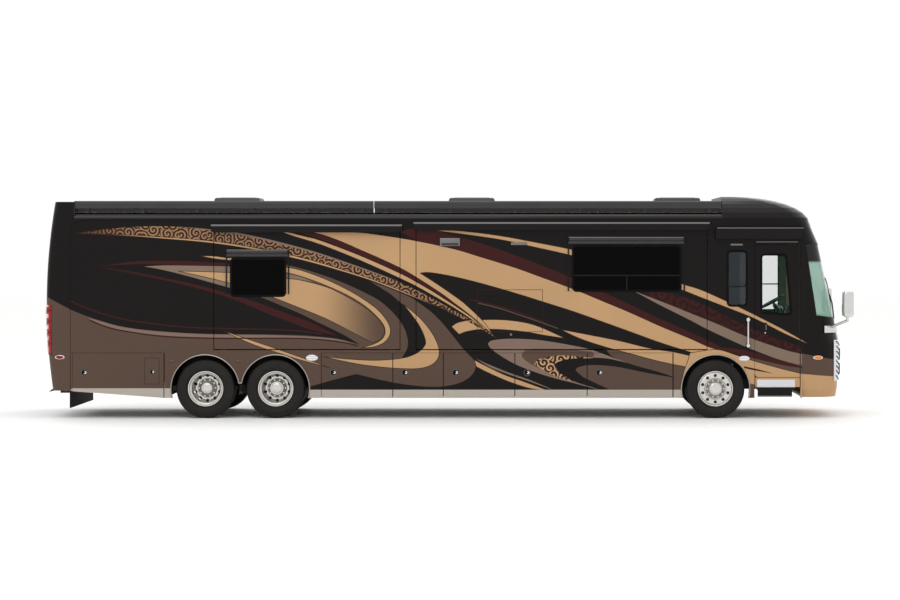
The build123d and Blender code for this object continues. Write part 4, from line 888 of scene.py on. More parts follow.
class COACH_OT_finishes(bpy.types.Operator):
    """Make the finishes and give every CAD node its own"""
    bl_idname = "coach.finishes"
    bl_label = "Finishes"

    def execute(self, context):
        make_finishes(context.scene.coach_paints)
        shell = [("black", panel_face)]
        for node, finish in PLAIN.items():
            set_finish(node, finish)
        for node in NODES:
            if "tyre" in node:
                set_finish(node, "tyre")
            elif node.rpartition("_")[0] in WHEEL_FACES:
                set_finish(node, "alloy_" + node.rpartition("_")[0])
            elif node.startswith("knuckle"):
                set_finish(node, "chassis")
            elif node.endswith("glass") and node.startswith("slideout"):
                set_finish(node, "tinted")
            elif node.startswith("bay_door"):
                set_finish(node, "bay_lining", shell)
            elif node.startswith("side_wall") or node == "entry_door":
                set_finish(node, "inner_wall", shell)
        for room in ROOMS:
            middle = sum(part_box(room), Vector()) / 2
            set_finish(room, "inner_wall", [
                ("black", lambda p, n: (abs(n.y) < 0.5 and n.dot(p - middle) > 0
                                        or HALF_W - 0.03 < abs(p.y) < HALF_W + 0.001)),
                ("topper", lambda p, n: abs(p.y) > HALF_W + 0.001)])
        set_finish("awnings", "case", [("topper", lambda p, n: p.z < DOOR_AWNING_TOP + 0.05)])
        set_finish("cab_windows", "cab_glass", [("door_glass", lambda p, n: p.y > 0)])
        set_finish("coach_floor", "floor", [("tan", riser), ("black", lambda p, n: abs(p.y) > HALF_W - 0.0005)])
        set_finish("roof", "roof", [("black", roof_edge), ("inner_wall", lambda p, n: n.z < -0.2 or n.y * p.y < 0)])
        set_finish("front_cap", "front_cap", [("trim_brown", lambda p, n: n.dot(p - FRONT_INSIDE) < -0.02)])
        set_finish("rear_cap", "rear_cap", [("bay_lining", lambda p, n: n.dot(p - REAR_INSIDE) < -0.02)])
        return {"FINISHED"}


# Wheels

# Tyre outline from the rim's seat over the tread: distance from the tyre's middle, radius
TYRE_SIDE = [(0.083, 0.3245), (0.083, 0.2887), (0.1052, 0.2887), (0.1052, 0.311), (0.117, 0.325), (0.1195, 0.334),
             (0.1285, 0.34), (0.1345, 0.358), (0.1398, 0.385), (0.1418, 0.405), (0.1418, 0.424), (0.1398, 0.43),
             (0.1392, 0.445), (0.135, 0.466), (0.1305, 0.478), (0.1268, 0.489), (0.117, 0.499), (0.104, 0.5045)]
# Inner wall of the tyre, unseen
TYRE_INNER = [(-0.12, 0.4), (-0.1, 0.474), (0.1, 0.474), (0.12, 0.4)]
# Tread from the shoulder to the middle: distance from the tyre's middle, radius, and 1 at a groove's floor
TREAD = [(0.104, 0.5055, 0), (0.068, 0.5085, 0), (0.068, 0.5085, 1), (0.061, 0.5085, 1), (0.061, 0.509, 0),
         (0.026, 0.5097, 0), (0.026, 0.5097, 1), (0.019, 0.5097, 1), (0.019, 0.5097, 0)]
# Shoulder blocks round the tread: their number, share of the groove's depth between them, and where they end
TREAD_PITCHES = 58
BLOCK_DEPTH = 0.75
BLOCK_STEPS = ((0.0, 0), (0.78, 0), (0.8, 1), (0.98, 1))
# How many points at the end of the side and at the start of the tread lie on a shoulder block
BLOCK_POINTS = 2


class COACH_OT_tyres(bpy.types.Operator):
    """Make the tyres with ribs, shoulder blocks and moulded side walls"""
    bl_idname = "coach.tyres"
    bl_label = "Tyres"

    def execute(self, context):
        groove = context.scene.coach_sizes.groove
        inner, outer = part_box("front_tyre_right")
        width = outer.y - inner.y
        for node in TYRES:
            low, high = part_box(node)
            twin = high.y - low.y > 1.5 * width
            form = Form()
            for middle in (low.y + width / 2, high.y - width / 2) if twin else ((low.y + high.y) / 2,):
                self.turn(form, Vector(((low.x + high.x) / 2, middle, AXLE_Z)), groove)
            made = form.done(f"{node}_moulded", BODY_OF[node], "tyre", 30.0)
            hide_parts(node)
        return {"FINISHED"}

    def turn(self, form, centre, groove):
        half = [(a, r, n >= len(TYRE_SIDE) - BLOCK_POINTS) for n, (a, r) in enumerate(TYRE_SIDE)]
        half += [(a, r - groove * floor, n < BLOCK_POINTS) for n, (a, r, floor) in enumerate(TREAD)]
        outline = half + [(-a, r, block) for a, r, block in reversed(half)] + [(a, r, False) for a, r in TYRE_INNER]
        rows = []
        for n in range(TREAD_PITCHES):
            for share, cut in BLOCK_STEPS:
                angle = (n + share) * 2 * math.pi / TREAD_PITCHES
                row = []
                for along, radius, block in outline:
                    radius -= groove * BLOCK_DEPTH * cut * block
                    row.append(centre + Vector((radius * math.sin(angle), along, radius * math.cos(angle))))
                rows.append(row)
        form.grid(rows, "tyre", close_rows=True, close_columns=True)


# Trim

def outer_loops(node, side):
    """Outlines of a node's outermost faces on one side, in place along the vehicle and height."""
    mesh = NODES[node].data
    face_y = max(v.co.y * side for v in mesh.vertices)
    ends = {}
    for face in mesh.polygons:
        if all(abs(mesh.vertices[v].co.y * side - face_y) < 2e-4 for v in face.vertices):
            ring = list(face.vertices)
            for a, b in zip(ring, ring[1:] + ring[:1]):
                if ends.get(b) and a in ends[b]:
                    ends[b].remove(a)
                else:
                    ends.setdefault(a, []).append(b)
    while any(ends.values()):
        start = next(a for a in ends if ends[a])
        loop, at = [], start
        while ends.get(at):
            loop.append(mesh.vertices[at].co)
            at = ends[at].pop()
        yield facing([(p.x, p.z) for p in loop])


def ring_round(form, loop, section, side, finish):
    """Sweeps a section of (outward offset, height over the side) pairs round a closed outline."""
    loop = [Vector(p) for n, p in enumerate(loop) if (Vector(p) - Vector(loop[n - 1])).length > 1e-5]
    rows = []
    for n, point in enumerate(loop):
        ahead = (loop[(n + 1) % len(loop)] - loop[n - 1]).normalized()
        out = Vector((ahead.y, -ahead.x))
        rows.append([(point.x + out.x * away, side * (HALF_W + proud), point.y + out.y * away)
                     for away, proud in section])
    form.grid(rows, finish, close_rows=True)


def line_box(form, span, side, line, finish):
    """Thin outline of a flush panel, between two corners in pixels of the photograph."""
    (x0, z1), (x1, z0) = from_photo(*span[:2]), from_photo(*span[2:])
    bottom, top = (x0, z0, x1, z0 + line), (x0, z1 - line, x1, z1)
    rear, front = (x0, z0, x0 + line, z1), (x1 - line, z0, x1, z1)
    for ax, az, bx, bz in (bottom, top, rear, front):
        form.box((ax, side * (HALF_W + 0.0003), az), (bx, side * (HALF_W + 0.0016), bz), finish)


def on_side(x, y, side, proud=0.0):
    """Place on a body side of a photograph's pixel, standing proud of it."""
    along, height = from_photo(x, y)
    return Vector((along, side * (HALF_W + proud), height))


def side_axis(side):
    return Vector((0, side, 0))


# A place along the vehicle well beyond either end
FAR_X = 9.0


def from_front(node, y, z):
    """Where a node's face lies, seen from straight ahead, and the surface's normal there."""
    return land(node, (FAR_X, y, z), (-1, 0, 0))


def from_rear(node, y, z):
    """Where a node's face lies, seen from straight behind, and the surface's normal there."""
    return land(node, (-FAR_X, y, z), (1, 0, 0))


def lifted(spot, height):
    """Place over a spot of a surface, along its normal."""
    return spot[0] + spot[1] * height


def spread(low, high, count):
    """Evenly spaced values, the two ends among them."""
    return [low + (high - low) * n / (count - 1) for n in range(count)]


def extent(points, axis):
    values = [point[axis] for point in points]
    return min(values), max(values)


class COACH_OT_arches(bpy.types.Operator):
    """Bend the bright strips round the wheel arches"""
    bl_idname = "coach.arches"
    bl_label = "Arch strips"

    # Height over the axles at which the two rear arches meet
    SADDLE = 0.095
    POINTS = 41

    def execute(self, context):
        width = context.scene.coach_sizes.arch_trim
        foot = math.asin((AXLE_Z - SKIRT_Z) / ARCH_R)
        saddle = math.asin(self.SADDLE / ARCH_R)
        tag, drive, front = (AXLES_X[k] for k in ("tag_tyre", "drive_tyres", "front_tyre"))
        paths = [self.arc(tag, math.pi + foot, saddle) + self.arc(drive, math.pi - saddle, -foot),
                 self.arc(front, math.pi + foot, -foot)]
        for name, side in SIDES.items():
            form = Form()
            for path in paths:
                self.sweep(form, path, side, width)
            form.done(f"arch_strips_{name}", "coach", "chrome", 50.0)
        return {"FINISHED"}

    def arc(self, x, start, end):
        return [(x + ARCH_R * math.cos(a), AXLE_Z + ARCH_R * math.sin(a)) for a in spread(start, end, self.POINTS)]

    def sweep(self, form, path, side, width):
        section = [(-0.002, -0.03), (-0.002, 0.006), (width * 0.2, 0.013), (width * 0.6, 0.012), (width, 0.002),
                   (width, 0.0006)]
        rows = []
        for n, (x, z) in enumerate(path):
            before, after = Vector(path[max(n - 1, 0)]), Vector(path[min(n + 1, len(path) - 1)])
            ahead = (after - before).normalized()
            rows.append([(x - ahead.y * across, side * (HALF_W + proud), z + ahead.x * across)
                         for across, proud in section])
        form.grid(rows, "sill", close_columns=True)


class COACH_OT_liners(bpy.types.Operator):
    """Line the wheel housings and the skirt seams with black panels, and set the brake drums behind the wheels"""
    bl_idname = "coach.liners"
    bl_label = "Wheel housings"

    # Axle, inner end across the vehicle
    HOUSINGS = (("tag_tyre", 0.62), ("drive_tyres", 0.62), ("front_tyre", 1.12))
    # Distance of their outer edge from the body's side, gap over the arch, and span of the liner in degrees
    OUTER = 0.042
    ARCH_GAP = 0.004
    SPAN = (-10, 190)
    POINTS = 41
    # Splash panel behind the front wheel: distance from the axle, thickness, inner end, drop below the axle, top
    SPLASH = (0.718, 0.006, 0.5, 0.09, 1.13)
    # Seams between the fixed skirts and the baggage doors
    SEAM_X = (from_photo(322.3, 0)[0], from_photo(673.3, 0)[0])
    SEAM_HALF = 0.04
    SEAM_Y = (1.195, 1.2215)
    SEAM_TOP = 1.1
    # Brake drum: how far behind the disc's face it starts, and its outline
    DRUM_SETBACK = 0.05
    DRUM = [(0.0, 0.1), (0.0, 0.235), (-0.1, 0.24), (-0.1, 0.1)]
    # Housings that reach further in than this have an inner wall, from this height over the axle
    DEEP = 1.0
    WALL_RISE = 0.02

    def execute(self, context):
        for name, side in SIDES.items():
            form = Form()
            for axle, inner in self.HOUSINGS:
                rows = []
                for angle in map(math.radians, spread(*self.SPAN, self.POINTS)):
                    x = AXLES_X[axle] + (ARCH_R + self.ARCH_GAP) * math.cos(angle)
                    z = AXLE_Z + (ARCH_R + self.ARCH_GAP) * math.sin(angle)
                    rows.append([(x, side * y, z) for y in (HALF_W - self.OUTER, inner)])
                form.grid(rows, "black_plastic")
                foot = AXLE_Z + self.WALL_RISE
                if inner < self.DEEP:
                    form.grid([(top, (*top[:2], foot)) for _, top in rows if top[2] > foot], "black_plastic")
            behind, thick, inner, drop, top = self.SPLASH
            x = AXLES_X["front_tyre"] - behind
            form.box((x - thick, side * inner, AXLE_Z - drop), (x, side * (HALF_W - self.OUTER), top),
                     "black_plastic")
            for x in self.SEAM_X:
                form.box((x - self.SEAM_HALF, side * self.SEAM_Y[0], SKIRT_Z + 0.012),
                         (x + self.SEAM_HALF, side * self.SEAM_Y[1], self.SEAM_TOP), "black_plastic")
            form.done(f"wheel_housings_{name}", "coach", "black_plastic", 50.0)
            for node, (axle_x, face_y) in WHEEL_FACES.items():
                form = Form()
                form.lathe(self.DRUM, (axle_x, side * (face_y - self.DRUM_SETBACK), AXLE_Z), side_axis(side),
                           "chassis", 40)
                form.done(f"brake_drum_{node}_{name}", BODY_OF[f"{node}_{name}"], "chassis_black", 40.0)
        return {"FINISHED"}


class COACH_OT_latches(bpy.types.Operator):
    """Set the round paddle latches in the baggage doors, and the small filler door's"""
    bl_idname = "coach.latches"
    bl_label = "Latches"

    FROM_REAR_EDGE = 0.205
    HEIGHT = 0.79
    # Filler door in the rear bay door: corners and latch in pixels of the photograph, and the latch's share of size
    FILLER = (144.6, 357.8, 159.4, 384.2)
    FILLER_LATCH = (152.5, 372)
    FILLER_SHARE = 0.8
    # Outlines in shares of the latch's radius, the first two with real heights
    BEZEL = ((0.0005, 1), (0.0045, 1), (0.006, 0.97), (0.0045, 0.9), (0.0016, 0.86))
    CUP = ((0.0016, 0.88), (0.0018, 0.4), (0.0018, 0.0))
    PADDLE = ((-0.2, -0.3), (0.25, -0.42), (0.6, -0.2), (0.68, 0.2), (0.4, 0.55), (0.0, 0.5), (0.25, 0.15),
              (0.1, -0.1))

    def execute(self, context):
        radius = context.scene.coach_sizes.latch_r
        for node in BAY_DOORS:
            side = LEFT if "left" in node else RIGHT
            form = Form()
            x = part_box(node)[0].x + self.FROM_REAR_EDGE
            self.latch(form, Vector((x, side * HALF_W, self.HEIGHT)), side, radius)
            if node.endswith("rear"):
                self.latch(form, on_side(*self.FILLER_LATCH, side), side, radius * self.FILLER_SHARE)
                line_box(form, self.FILLER, side, 0.006, "seal")
            form.done(f"latch_{node}", BODY_OF[node], "chrome", 40.0)
        return {"FINISHED"}

    def latch(self, form, place, side, r):
        axis = side_axis(side)
        for outline, finish in ((self.BEZEL, "dull_metal"), (self.CUP, "seal")):
            form.lathe([(height, share * r) for height, share in outline], place, axis, finish, 28)
        form.prism([Vector((x * r, 0, z * r)) for x, z in self.PADDLE], place + axis * 0.0022,
                   "chrome", axis * 0.006, 0.002)


# Window seal: offset outward from the glass's edge, height over the side
SEAL_SECTION = ((-0.03, 0.0041), (-0.028, 0.0075), (-0.004, 0.009), (0.006, 0.006), (0.008, 0.0009))

# Window awnings: the rooms that carry one, and in pixels of the photograph the rail's height, its rear and front ends
# and the lower end of the arms
WINDOW_AWNINGS = ((("bedroom_right", "left"), 251.6, 226.5, 288.6, 294),
                  (("living_right", "left"), 238.9, 568.4, 684.2, 291))


class COACH_OT_windows(bpy.types.Operator):
    """Fit window dividers, seals, the small awnings over the windows, and the trim of the rooms' outer walls"""
    bl_idname = "coach.windows"
    bl_label = "Windows"

    # In pixels of the photograph: the cabinet door and its latch, two corners each of the patio lamp, its lens and
    # the rail bracket, the dividers of the living room's window, and that of the cab's
    HATCH = (477, 289.5, 542.7, 332)
    HATCH_LATCH = (511, 334.5)
    PATIO_LAMP = ((440, 246), (460, 238))
    PATIO_LENS = ((441.5, 245.4), (458.5, 243))
    BRACKET = ((511, 245), (527, 242.4))
    BARS_X = (572.4, 626.8, 681.2)
    BARS_Y = (275.4, 291.4)
    CAB_BAR_X = (727.2, 747.0)
    CAB_BAR_Y = 286.4
    # Roller of a window awning: its middle's distance from the side, its radius
    ROLLER = (0.045, 0.03)
    ROLLER_CAP = [(-0.014, 0.0), (-0.014, 0.036), (0.014, 0.036), (0.014, 0.0)]
    # Dividers: height over the side, and how far they stay from the glass's edge
    BAR_FACE = HALF_W + 0.0042
    BAR_INSET = 0.03

    def execute(self, context):
        sash = context.scene.coach_sizes.sash
        for room in ROOMS:
            side = LEFT if room == "slideout_left" else RIGHT
            form = Form()
            for rooms, y, x0, x1, low_y in WINDOW_AWNINGS:
                if room[len("slideout_"):] in rooms:
                    self.awning(form, side, y, x0, x1, low_y)
            if "bedroom" not in room:
                self.bars(form, side, sash)
            if "living" in room:
                self.hatch(form, side)
            self.topper_rail(form, room, side)
            form.done(f"window_trim_{room}", BODY_OF[room], "awning_grey", 40.0)
        for node in [name for name in NODES if name.endswith("glass") or name == "cab_windows"]:
            form = Form()
            for side in SIDES.values():
                face = max(v.co.y * side for v in NODES[node].data.vertices)
                for loop in outer_loops(node, side) if face > HALF_W - 0.02 else ():
                    ring_round(form, loop, SEAL_SECTION, side, "seal")
            form.done(f"seal_{node}", BODY_OF[node], "rubber", 50.0)
        form = Form()
        self.cab_bars(form, sash)
        form.done("cab_window_bars", "coach", "black_plastic", 40.0)
        return {"FINISHED"}

    def topper_rail(self, form, room, side):
        """Bright rail along the top of the room's topper case."""
        low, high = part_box(room)
        out = high.y if side == LEFT else -low.y
        form.box((low.x, side * (out - 0.02), high.z - 0.028), (high.x, side * (out + 0.0016), high.z + 0.0006),
                 "dull_metal", 0.0006)

    def hatch(self, form, side):
        """Flush cabinet door with its latch, the patio lamp and a small rail bracket."""
        line_box(form, self.HATCH, side, 0.008, "edge")
        form.lathe([(0.0005, 0.022), (0.006, 0.02), (0.007, 0.0)], on_side(*self.HATCH_LATCH, side), side_axis(side),
                   "dull_metal", 20)
        for (start, end), (inner, outer), finish, bevel in (
                (self.PATIO_LAMP, (0.0, 0.035), "dull_metal", 0.008),
                (self.PATIO_LENS, (0.034, 0.037), "case", 0.0005),
                (self.BRACKET, (0.0, 0.02), "dull_metal", 0.005)):
            form.box(on_side(*start, side, inner), on_side(*end, side, outer), finish, bevel)

    def awning(self, form, side, y, x0, x1, low_y):
        """Roller, its case on the wall, the bright rail over it and the two arms."""
        proud, radius = self.ROLLER
        start, end = on_side(x0, y, side, proud), on_side(x1, y, side, proud)
        form.tube([start, end], radius, "case", 14)
        form.box(start + Vector((0, -0.02, 0.018)), end + Vector((0, 0.02, 0.034)), "dull_metal", 0.004)
        form.box((start.x, side * (HALF_W + 0.0012), start.z - 0.085), (end.x, side * (HALF_W + 0.03), start.z),
                 "case", 0.008)
        for x in (x0, x1):
            form.box(on_side(x, low_y, side, 0.0012) + Vector((-0.011, 0, 0)),
                     on_side(x, y, side, 0.024) + Vector((0.011, 0, 0.02)), "black_plastic", 0.003)
            form.lathe(self.ROLLER_CAP, on_side(x, y, side, proud), (1, 0, 0), "black_plastic", 16)

    def bars(self, form, side, sash):
        """Level divider of the living room's window, and the upright one below it."""
        rear, middle, front = (from_photo(x, 0)[0] for x in self.BARS_X)
        upper, lower = (from_photo(0, y)[1] for y in self.BARS_Y)
        half, inset = sash / 2, self.BAR_INSET
        for (x0, z0), (x1, z1) in (((rear + inset, upper - half), (front - inset, upper + half)),
                                   ((middle - half, lower + 0.02), (middle + half, upper))):
            form.box((x0, side * self.BAR_FACE, z0), (x1, side * (self.BAR_FACE + 0.006), z1), "black_plastic", 0.002)

    def cab_bars(self, form, sash):
        z = from_photo(0, self.CAB_BAR_Y)[1]
        left = extent([v.co for v in NODES["cab_windows"].data.vertices if v.co.y > 0], 0)
        for side, (x0, x1) in ((RIGHT, [from_photo(x, 0)[0] for x in self.CAB_BAR_X]), (LEFT, left)):
            form.box((x0 + 0.012, side * self.BAR_FACE, z - sash / 2),
                     (x1 - 0.012, side * (HALF_W + 0.012), z + sash / 2), "black_plastic", 0.002)


class COACH_OT_entry(bpy.types.Operator):
    """Fit the entry door's handle, seal and gutter, the grab bar, the kick plate and the step's treads"""
    bl_idname = "coach.entry"
    bl_label = "Entry"

    # In pixels of the photograph: middle of the handle, and two ends or corners of each of the others
    HANDLE = (765.2, 327)
    BAR_ENDS = ((748, 319.5), (748, 345.5))
    BRACKET = ((730.6, 245.4), (742.7, 243.8))
    RISER = ((756.6, 388.9), (795.6, 379.6))
    # Handle's loop: distance from the door, height over its middle
    LOOP = ((0.002, -0.055), (0.03, -0.045), (0.032, 0.03), (0.004, 0.05))
    LOCK = [(0.002, 0.014), (0.008, 0.012), (0.008, 0.0)]
    BAR_PROUD = 0.05
    BAR_FOOT = [(0.0009, 0.052), (0.012, 0.05), (0.026, 0.042), (0.05, 0.038), (0.068, 0.03), (0.076, 0.0)]
    # Gutter: gap above the door, depth, how far it stands proud
    GUTTER_GAP, GUTTER_DEEP, GUTTER_PROUD = 0.01, 0.014, 0.009
    # Seal behind the door: how far it laps the opening, and how far its faces lie inside the body's side
    SEAL_LAP = 0.03
    SEAL_INSIDE = (0.062, 0.072)
    TREADS = 8
    TREAD_PITCH = 0.034
    TREAD_WIDE = 0.018
    # Distance of the first tread from the step's outer edge
    TREAD_START = 0.02

    def execute(self, context):
        self.handle(side_axis(RIGHT))
        low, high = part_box("entry_door")
        self.bar(side_axis(RIGHT), low, high)
        form = Form()
        (x0, z0), (x1, z1) = (from_photo(*place) for place in self.RISER)
        face = -HALF_W + RISER_SET_BACK
        form.box((x0 + 0.012, face - 0.0016, z0 + 0.03), (x1 - 0.012, face - 0.0002, z1), "kick", 0.0006)
        form.done("kick_plate", "coach", "step_black")
        form = Form()
        lap = self.SEAL_LAP
        y0, y1 = (inside - HALF_W for inside in self.SEAL_INSIDE)
        for x in (low.x, high.x):
            form.box((x - lap, y0, low.z + lap), (x + lap, y1, high.z + lap), "seal", 0.003)
        form.box((low.x, y0, high.z - lap), (high.x, y1, high.z + lap), "seal", 0.003)
        form.done("entry_door_seal", "coach", "rubber")
        self.treads()
        return {"FINISHED"}

    def handle(self, axis):
        form = Form()
        middle = on_side(*self.HANDLE, RIGHT)
        form.box(middle + Vector((-0.03, -0.004, -0.075)), middle + Vector((0.03, 0.0, 0.075)),
                 "black_plastic", 0.002)
        form.tube([middle + axis * out + Vector((0.012, 0, z)) for out, z in self.LOOP], 0.01, "dull_metal", 10)
        form.lathe(self.LOCK, middle + Vector((0.0, 0, -0.1)), axis, "chrome", 16)
        form.done("entry_door_handle", "entry_door", "chrome")

    def bar(self, axis, low, high):
        """Grab bar behind the door, the bracket over it and the gutter over the door."""
        form = Form()
        ends = [on_side(*end, RIGHT, self.BAR_PROUD) for end in self.BAR_ENDS]
        form.tube(ends[::-1], 0.016, "chrome", 14)
        for place in ends:
            form.lathe(self.BAR_FOOT, place - axis * self.BAR_PROUD, axis, "chrome", 20)
        form.box(on_side(*self.BRACKET[0], RIGHT), on_side(*self.BRACKET[1], RIGHT, 0.006), "dull_metal", 0.002)
        z = high.z + self.GUTTER_GAP
        form.box((low.x + 0.02, -HALF_W - 0.0009, z),
                 (high.x - 0.04, -HALF_W - self.GUTTER_PROUD, z + self.GUTTER_DEEP), "dull_metal", 0.003)
        form.done("grab_bar", "coach", "chrome")

    def treads(self):
        """Rubber treads on the step, and the bright strip along its edge."""
        low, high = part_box("entry_step")
        form = Form()
        start = low.y + self.TREAD_START
        z = land("entry_step", ((low.x + high.x) / 2, start, high.z + 0.2), (0, 0, -1))[0].z
        for n in range(self.TREADS):
            y = start + n * self.TREAD_PITCH
            form.box((low.x + 0.03, y, z + 0.0002), (high.x - 0.03, y + self.TREAD_WIDE, z + 0.004), "seal", 0.001)
        form.box((low.x + 0.004, low.y - 0.0016, low.z + 0.006), (high.x - 0.004, low.y - 0.0002, low.z + 0.02),
                 "dull_metal", 0.0005)
        form.done("step_treads", "entry_step", "step_black")


# Side lamps: finish, middle and half size in pixels of the photograph
SIDE_LAMPS = (("lamp_red", 59.8, 357.2, 4.8, 2.0), ("lamp_clear", 312, 357.8, 6.0, 3.0),
              ("lamp_clear", 744.2, 358.4, 5.4, 2.6), ("lamp_amber", 818, 357.6, 5.0, 2.0))
# Small covers in the body's colour beside the rear arches: middles and half size, in pixels too
COVERS = ((171.5, 361.5), (238, 361.2))
COVER_HALF = (3.2, 1.4)


class COACH_OT_lamps(bpy.types.Operator):
    """Set the side marker lamps, headlamp and tail lamp details"""
    bl_idname = "coach.lamps"
    bl_label = "Lamps"

    OVAL_STEPS = 28
    # Headlamp: its slots' number, their points as distances from the middle and heights, and its round lenses
    SLOTS = 8
    SLOT = [(1.1 - 0.035 * k, 0.035 - 0.018 * k) for k in range(5)]
    LENS_Y = 0.83
    LENS_Z = (0.2, 0.46)
    LENS_RING = [(-0.01, 0.098), (0.012, 0.098), (0.016, 0.09), (0.008, 0.08), (0.004, 0.078)]
    LENS = [(0.002, 0.08), (0.012, 0.06), (0.02, 0.03), (0.022, 0.0)]
    # Tail lamp: its round reflectors
    REFLECTORS = 4
    REFLECTOR_Y = 1.17
    REFLECTOR_RING = [(-0.004, 0.046), (0.005, 0.046), (0.007, 0.041), (0.005, 0.034)]
    REFLECTOR = [(0.001, 0.036), (0.006, 0.026), (0.009, 0.0)]

    def execute(self, context):
        for name, side in SIDES.items():
            form = Form()
            for finish, x, y, *half in SIDE_LAMPS:
                along, height = from_photo(x, y)
                node = "front_cap" if along > WALL_FRONT_X else "rear_cap" if along < WALL_REAR_X else "skirt_panels"
                spot = land(node, (along, side * (HALF_W + 1), height), (0, -side, 0))
                self.oval(form, lifted(spot, 0.001), spot[1], half, finish)
            for x, y in COVERS:
                self.oval(form, on_side(x, y, side, 0.001), side_axis(side), COVER_HALF, "taupe")
            form.done(f"side_lamps_{name}", "coach", "lamp_clear", 50.0)
            self.headlamp(name, side)
            self.tail(name, side)
        return {"FINISHED"}

    def oval(self, form, place, normal, half, finish):
        """Oval lens on a chrome bezel, or a cover all in the paint."""
        up = Vector((0, 0, 1))
        across = up.cross(normal).normalized()
        long, tall = (size * PHOTO_SCALE for size in half)
        turns = [2 * math.pi * k / self.OVAL_STEPS for k in range(self.OVAL_STEPS)]
        bezel = "taupe" if finish == "taupe" else "chrome"
        for grow, base, top, shade in ((1.0, 0.0, 0.006, bezel), (0.8, 0.005, 0.011, finish)):
            rows = []
            for scale, height in ((1.0, base), (1.0, (base + top) / 2), (0.8, top), (0.01, top)):
                a, b = across * (long * grow * scale), up * (tall * grow * scale)
                rows.append([place + normal * height + a * math.cos(t) + b * math.sin(t) for t in turns])
            form.grid(rows, shade, close_columns=True)

    def headlamp(self, name, side):
        """Slanted dark slots down the lamp's corner, and two round lenses at the front."""
        low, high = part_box("headlamps")
        form = Form()
        for z in spread(low.z + 0.06, high.z - 0.06, self.SLOTS):
            line = [lifted(from_front("headlamps", side * y, z + rise), 0.002) for y, rise in self.SLOT]
            form.tube(line, 0.011, "unit_dark", 8)
        for z in self.LENS_Z:
            spot = from_front("headlamps", side * self.LENS_Y, low.z + z)
            form.lathe(self.LENS_RING, *spot, "black_plastic", 36)
            form.lathe(self.LENS, *spot, "lamp_clear", 36)
        form.done(f"headlamp_inserts_{name}", "coach", "lamp_clear", 45.0)

    def tail(self, name, side):
        """Round reflectors in bright rings, clear and red in turn."""
        low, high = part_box("tail_lamps")
        form = Form()
        for n, z in enumerate(spread(low.z + 0.12, high.z - 0.12, self.REFLECTORS)):
            spot = from_rear("tail_lamps", side * self.REFLECTOR_Y, z)
            form.lathe(self.REFLECTOR_RING, *spot, "chrome", 28)
            form.lathe(self.REFLECTOR, *spot, "lamp_red" if n % 2 else "lamp_clear", 28)
        form.done(f"tail_lamp_inserts_{name}", "coach", "lamp_red", 45.0)


class COACH_OT_front(bpy.types.Operator):
    """Fit wipers, brow lamps, mirror glass and the windshield's centre bar"""
    bl_idname = "coach.front"
    bl_label = "Front"

    # Wiper blade: first point's distance from the middle and height over the screen's foot, and steps between points
    BLADE_START = (0.16, 0.09)
    BLADE_STEP = (0.11, 0.075)
    BLADE_POINTS = 9
    PIVOT = [(-0.004, 0.034), (0.03, 0.03), (0.036, 0.0)]
    PIVOT_Y = 0.2
    BROW_LAMPS_Y = (-0.86, -0.2, 0.0, 0.2, 0.86)
    BROW_LAMPS_Z = 3.36
    BROW_LAMP = [(-0.006, 0.036), (0.002, 0.035), (0.005, 0.03), (0.006, 0.0)]
    # Mirrors: a point behind the right one's middle, the panes' edges from the vehicle's middle, and their heights
    MIRROR_AT = (0, -1.47, 1.98)
    MIRROR_Y = (1.375, 1.565)
    MIRROR_Z = ((1.83, 2.17), (1.785, 1.815))

    def execute(self, context):
        low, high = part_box("windshield")
        form = Form()
        (start_y, start_z), (step_y, step_z) = self.BLADE_START, self.BLADE_STEP
        sweep = [(start_y + step_y * k, low.z + start_z + step_z * k) for k in range(self.BLADE_POINTS)]
        for side in SIDES.values():
            blade = [lifted(from_front("windshield", side * y, z), 0.014) for y, z in sweep]
            form.tube(blade, 0.009, "black_plastic", 8)
            foot, normal = from_front("front_cap", side * self.PIVOT_Y, low.z - 0.03)
            form.lathe(self.PIVOT, foot, normal, "black_plastic", 20)
            arm = [foot + normal * 0.03, blade[2] + Vector((0.03, 0, 0)), blade[4] + Vector((0.006, 0, 0))]
            form.tube(arm, 0.012, "black_plastic", 8)
        bar = [lifted(from_front("windshield", 0, z), 0.003) for z in spread(low.z + 0.01, high.z - 0.02, 9)]
        form.tube(bar, 0.007, "seal", 8)
        form.done("wipers", "coach", "black_plastic", 45.0)
        form = Form()
        for y in self.BROW_LAMPS_Y:
            form.lathe(self.BROW_LAMP, *from_front("front_cap", y, self.BROW_LAMPS_Z), "lamp_amber", 20)
        form.done("brow_lamps", "coach", "lamp_clear", 45.0)
        form = Form()
        x = land("mirrors", self.MIRROR_AT, (1, 0, 0))[0].x
        for side in SIDES.values():
            y0, y1 = (side * y for y in self.MIRROR_Y)
            for z0, z1 in self.MIRROR_Z:
                form.box((x - 0.003, y0, z0), (x + 0.001, y1, z1), "mirror", 0.001)
        form.done("mirror_glass", "coach", "chrome", 45.0)
        return {"FINISHED"}


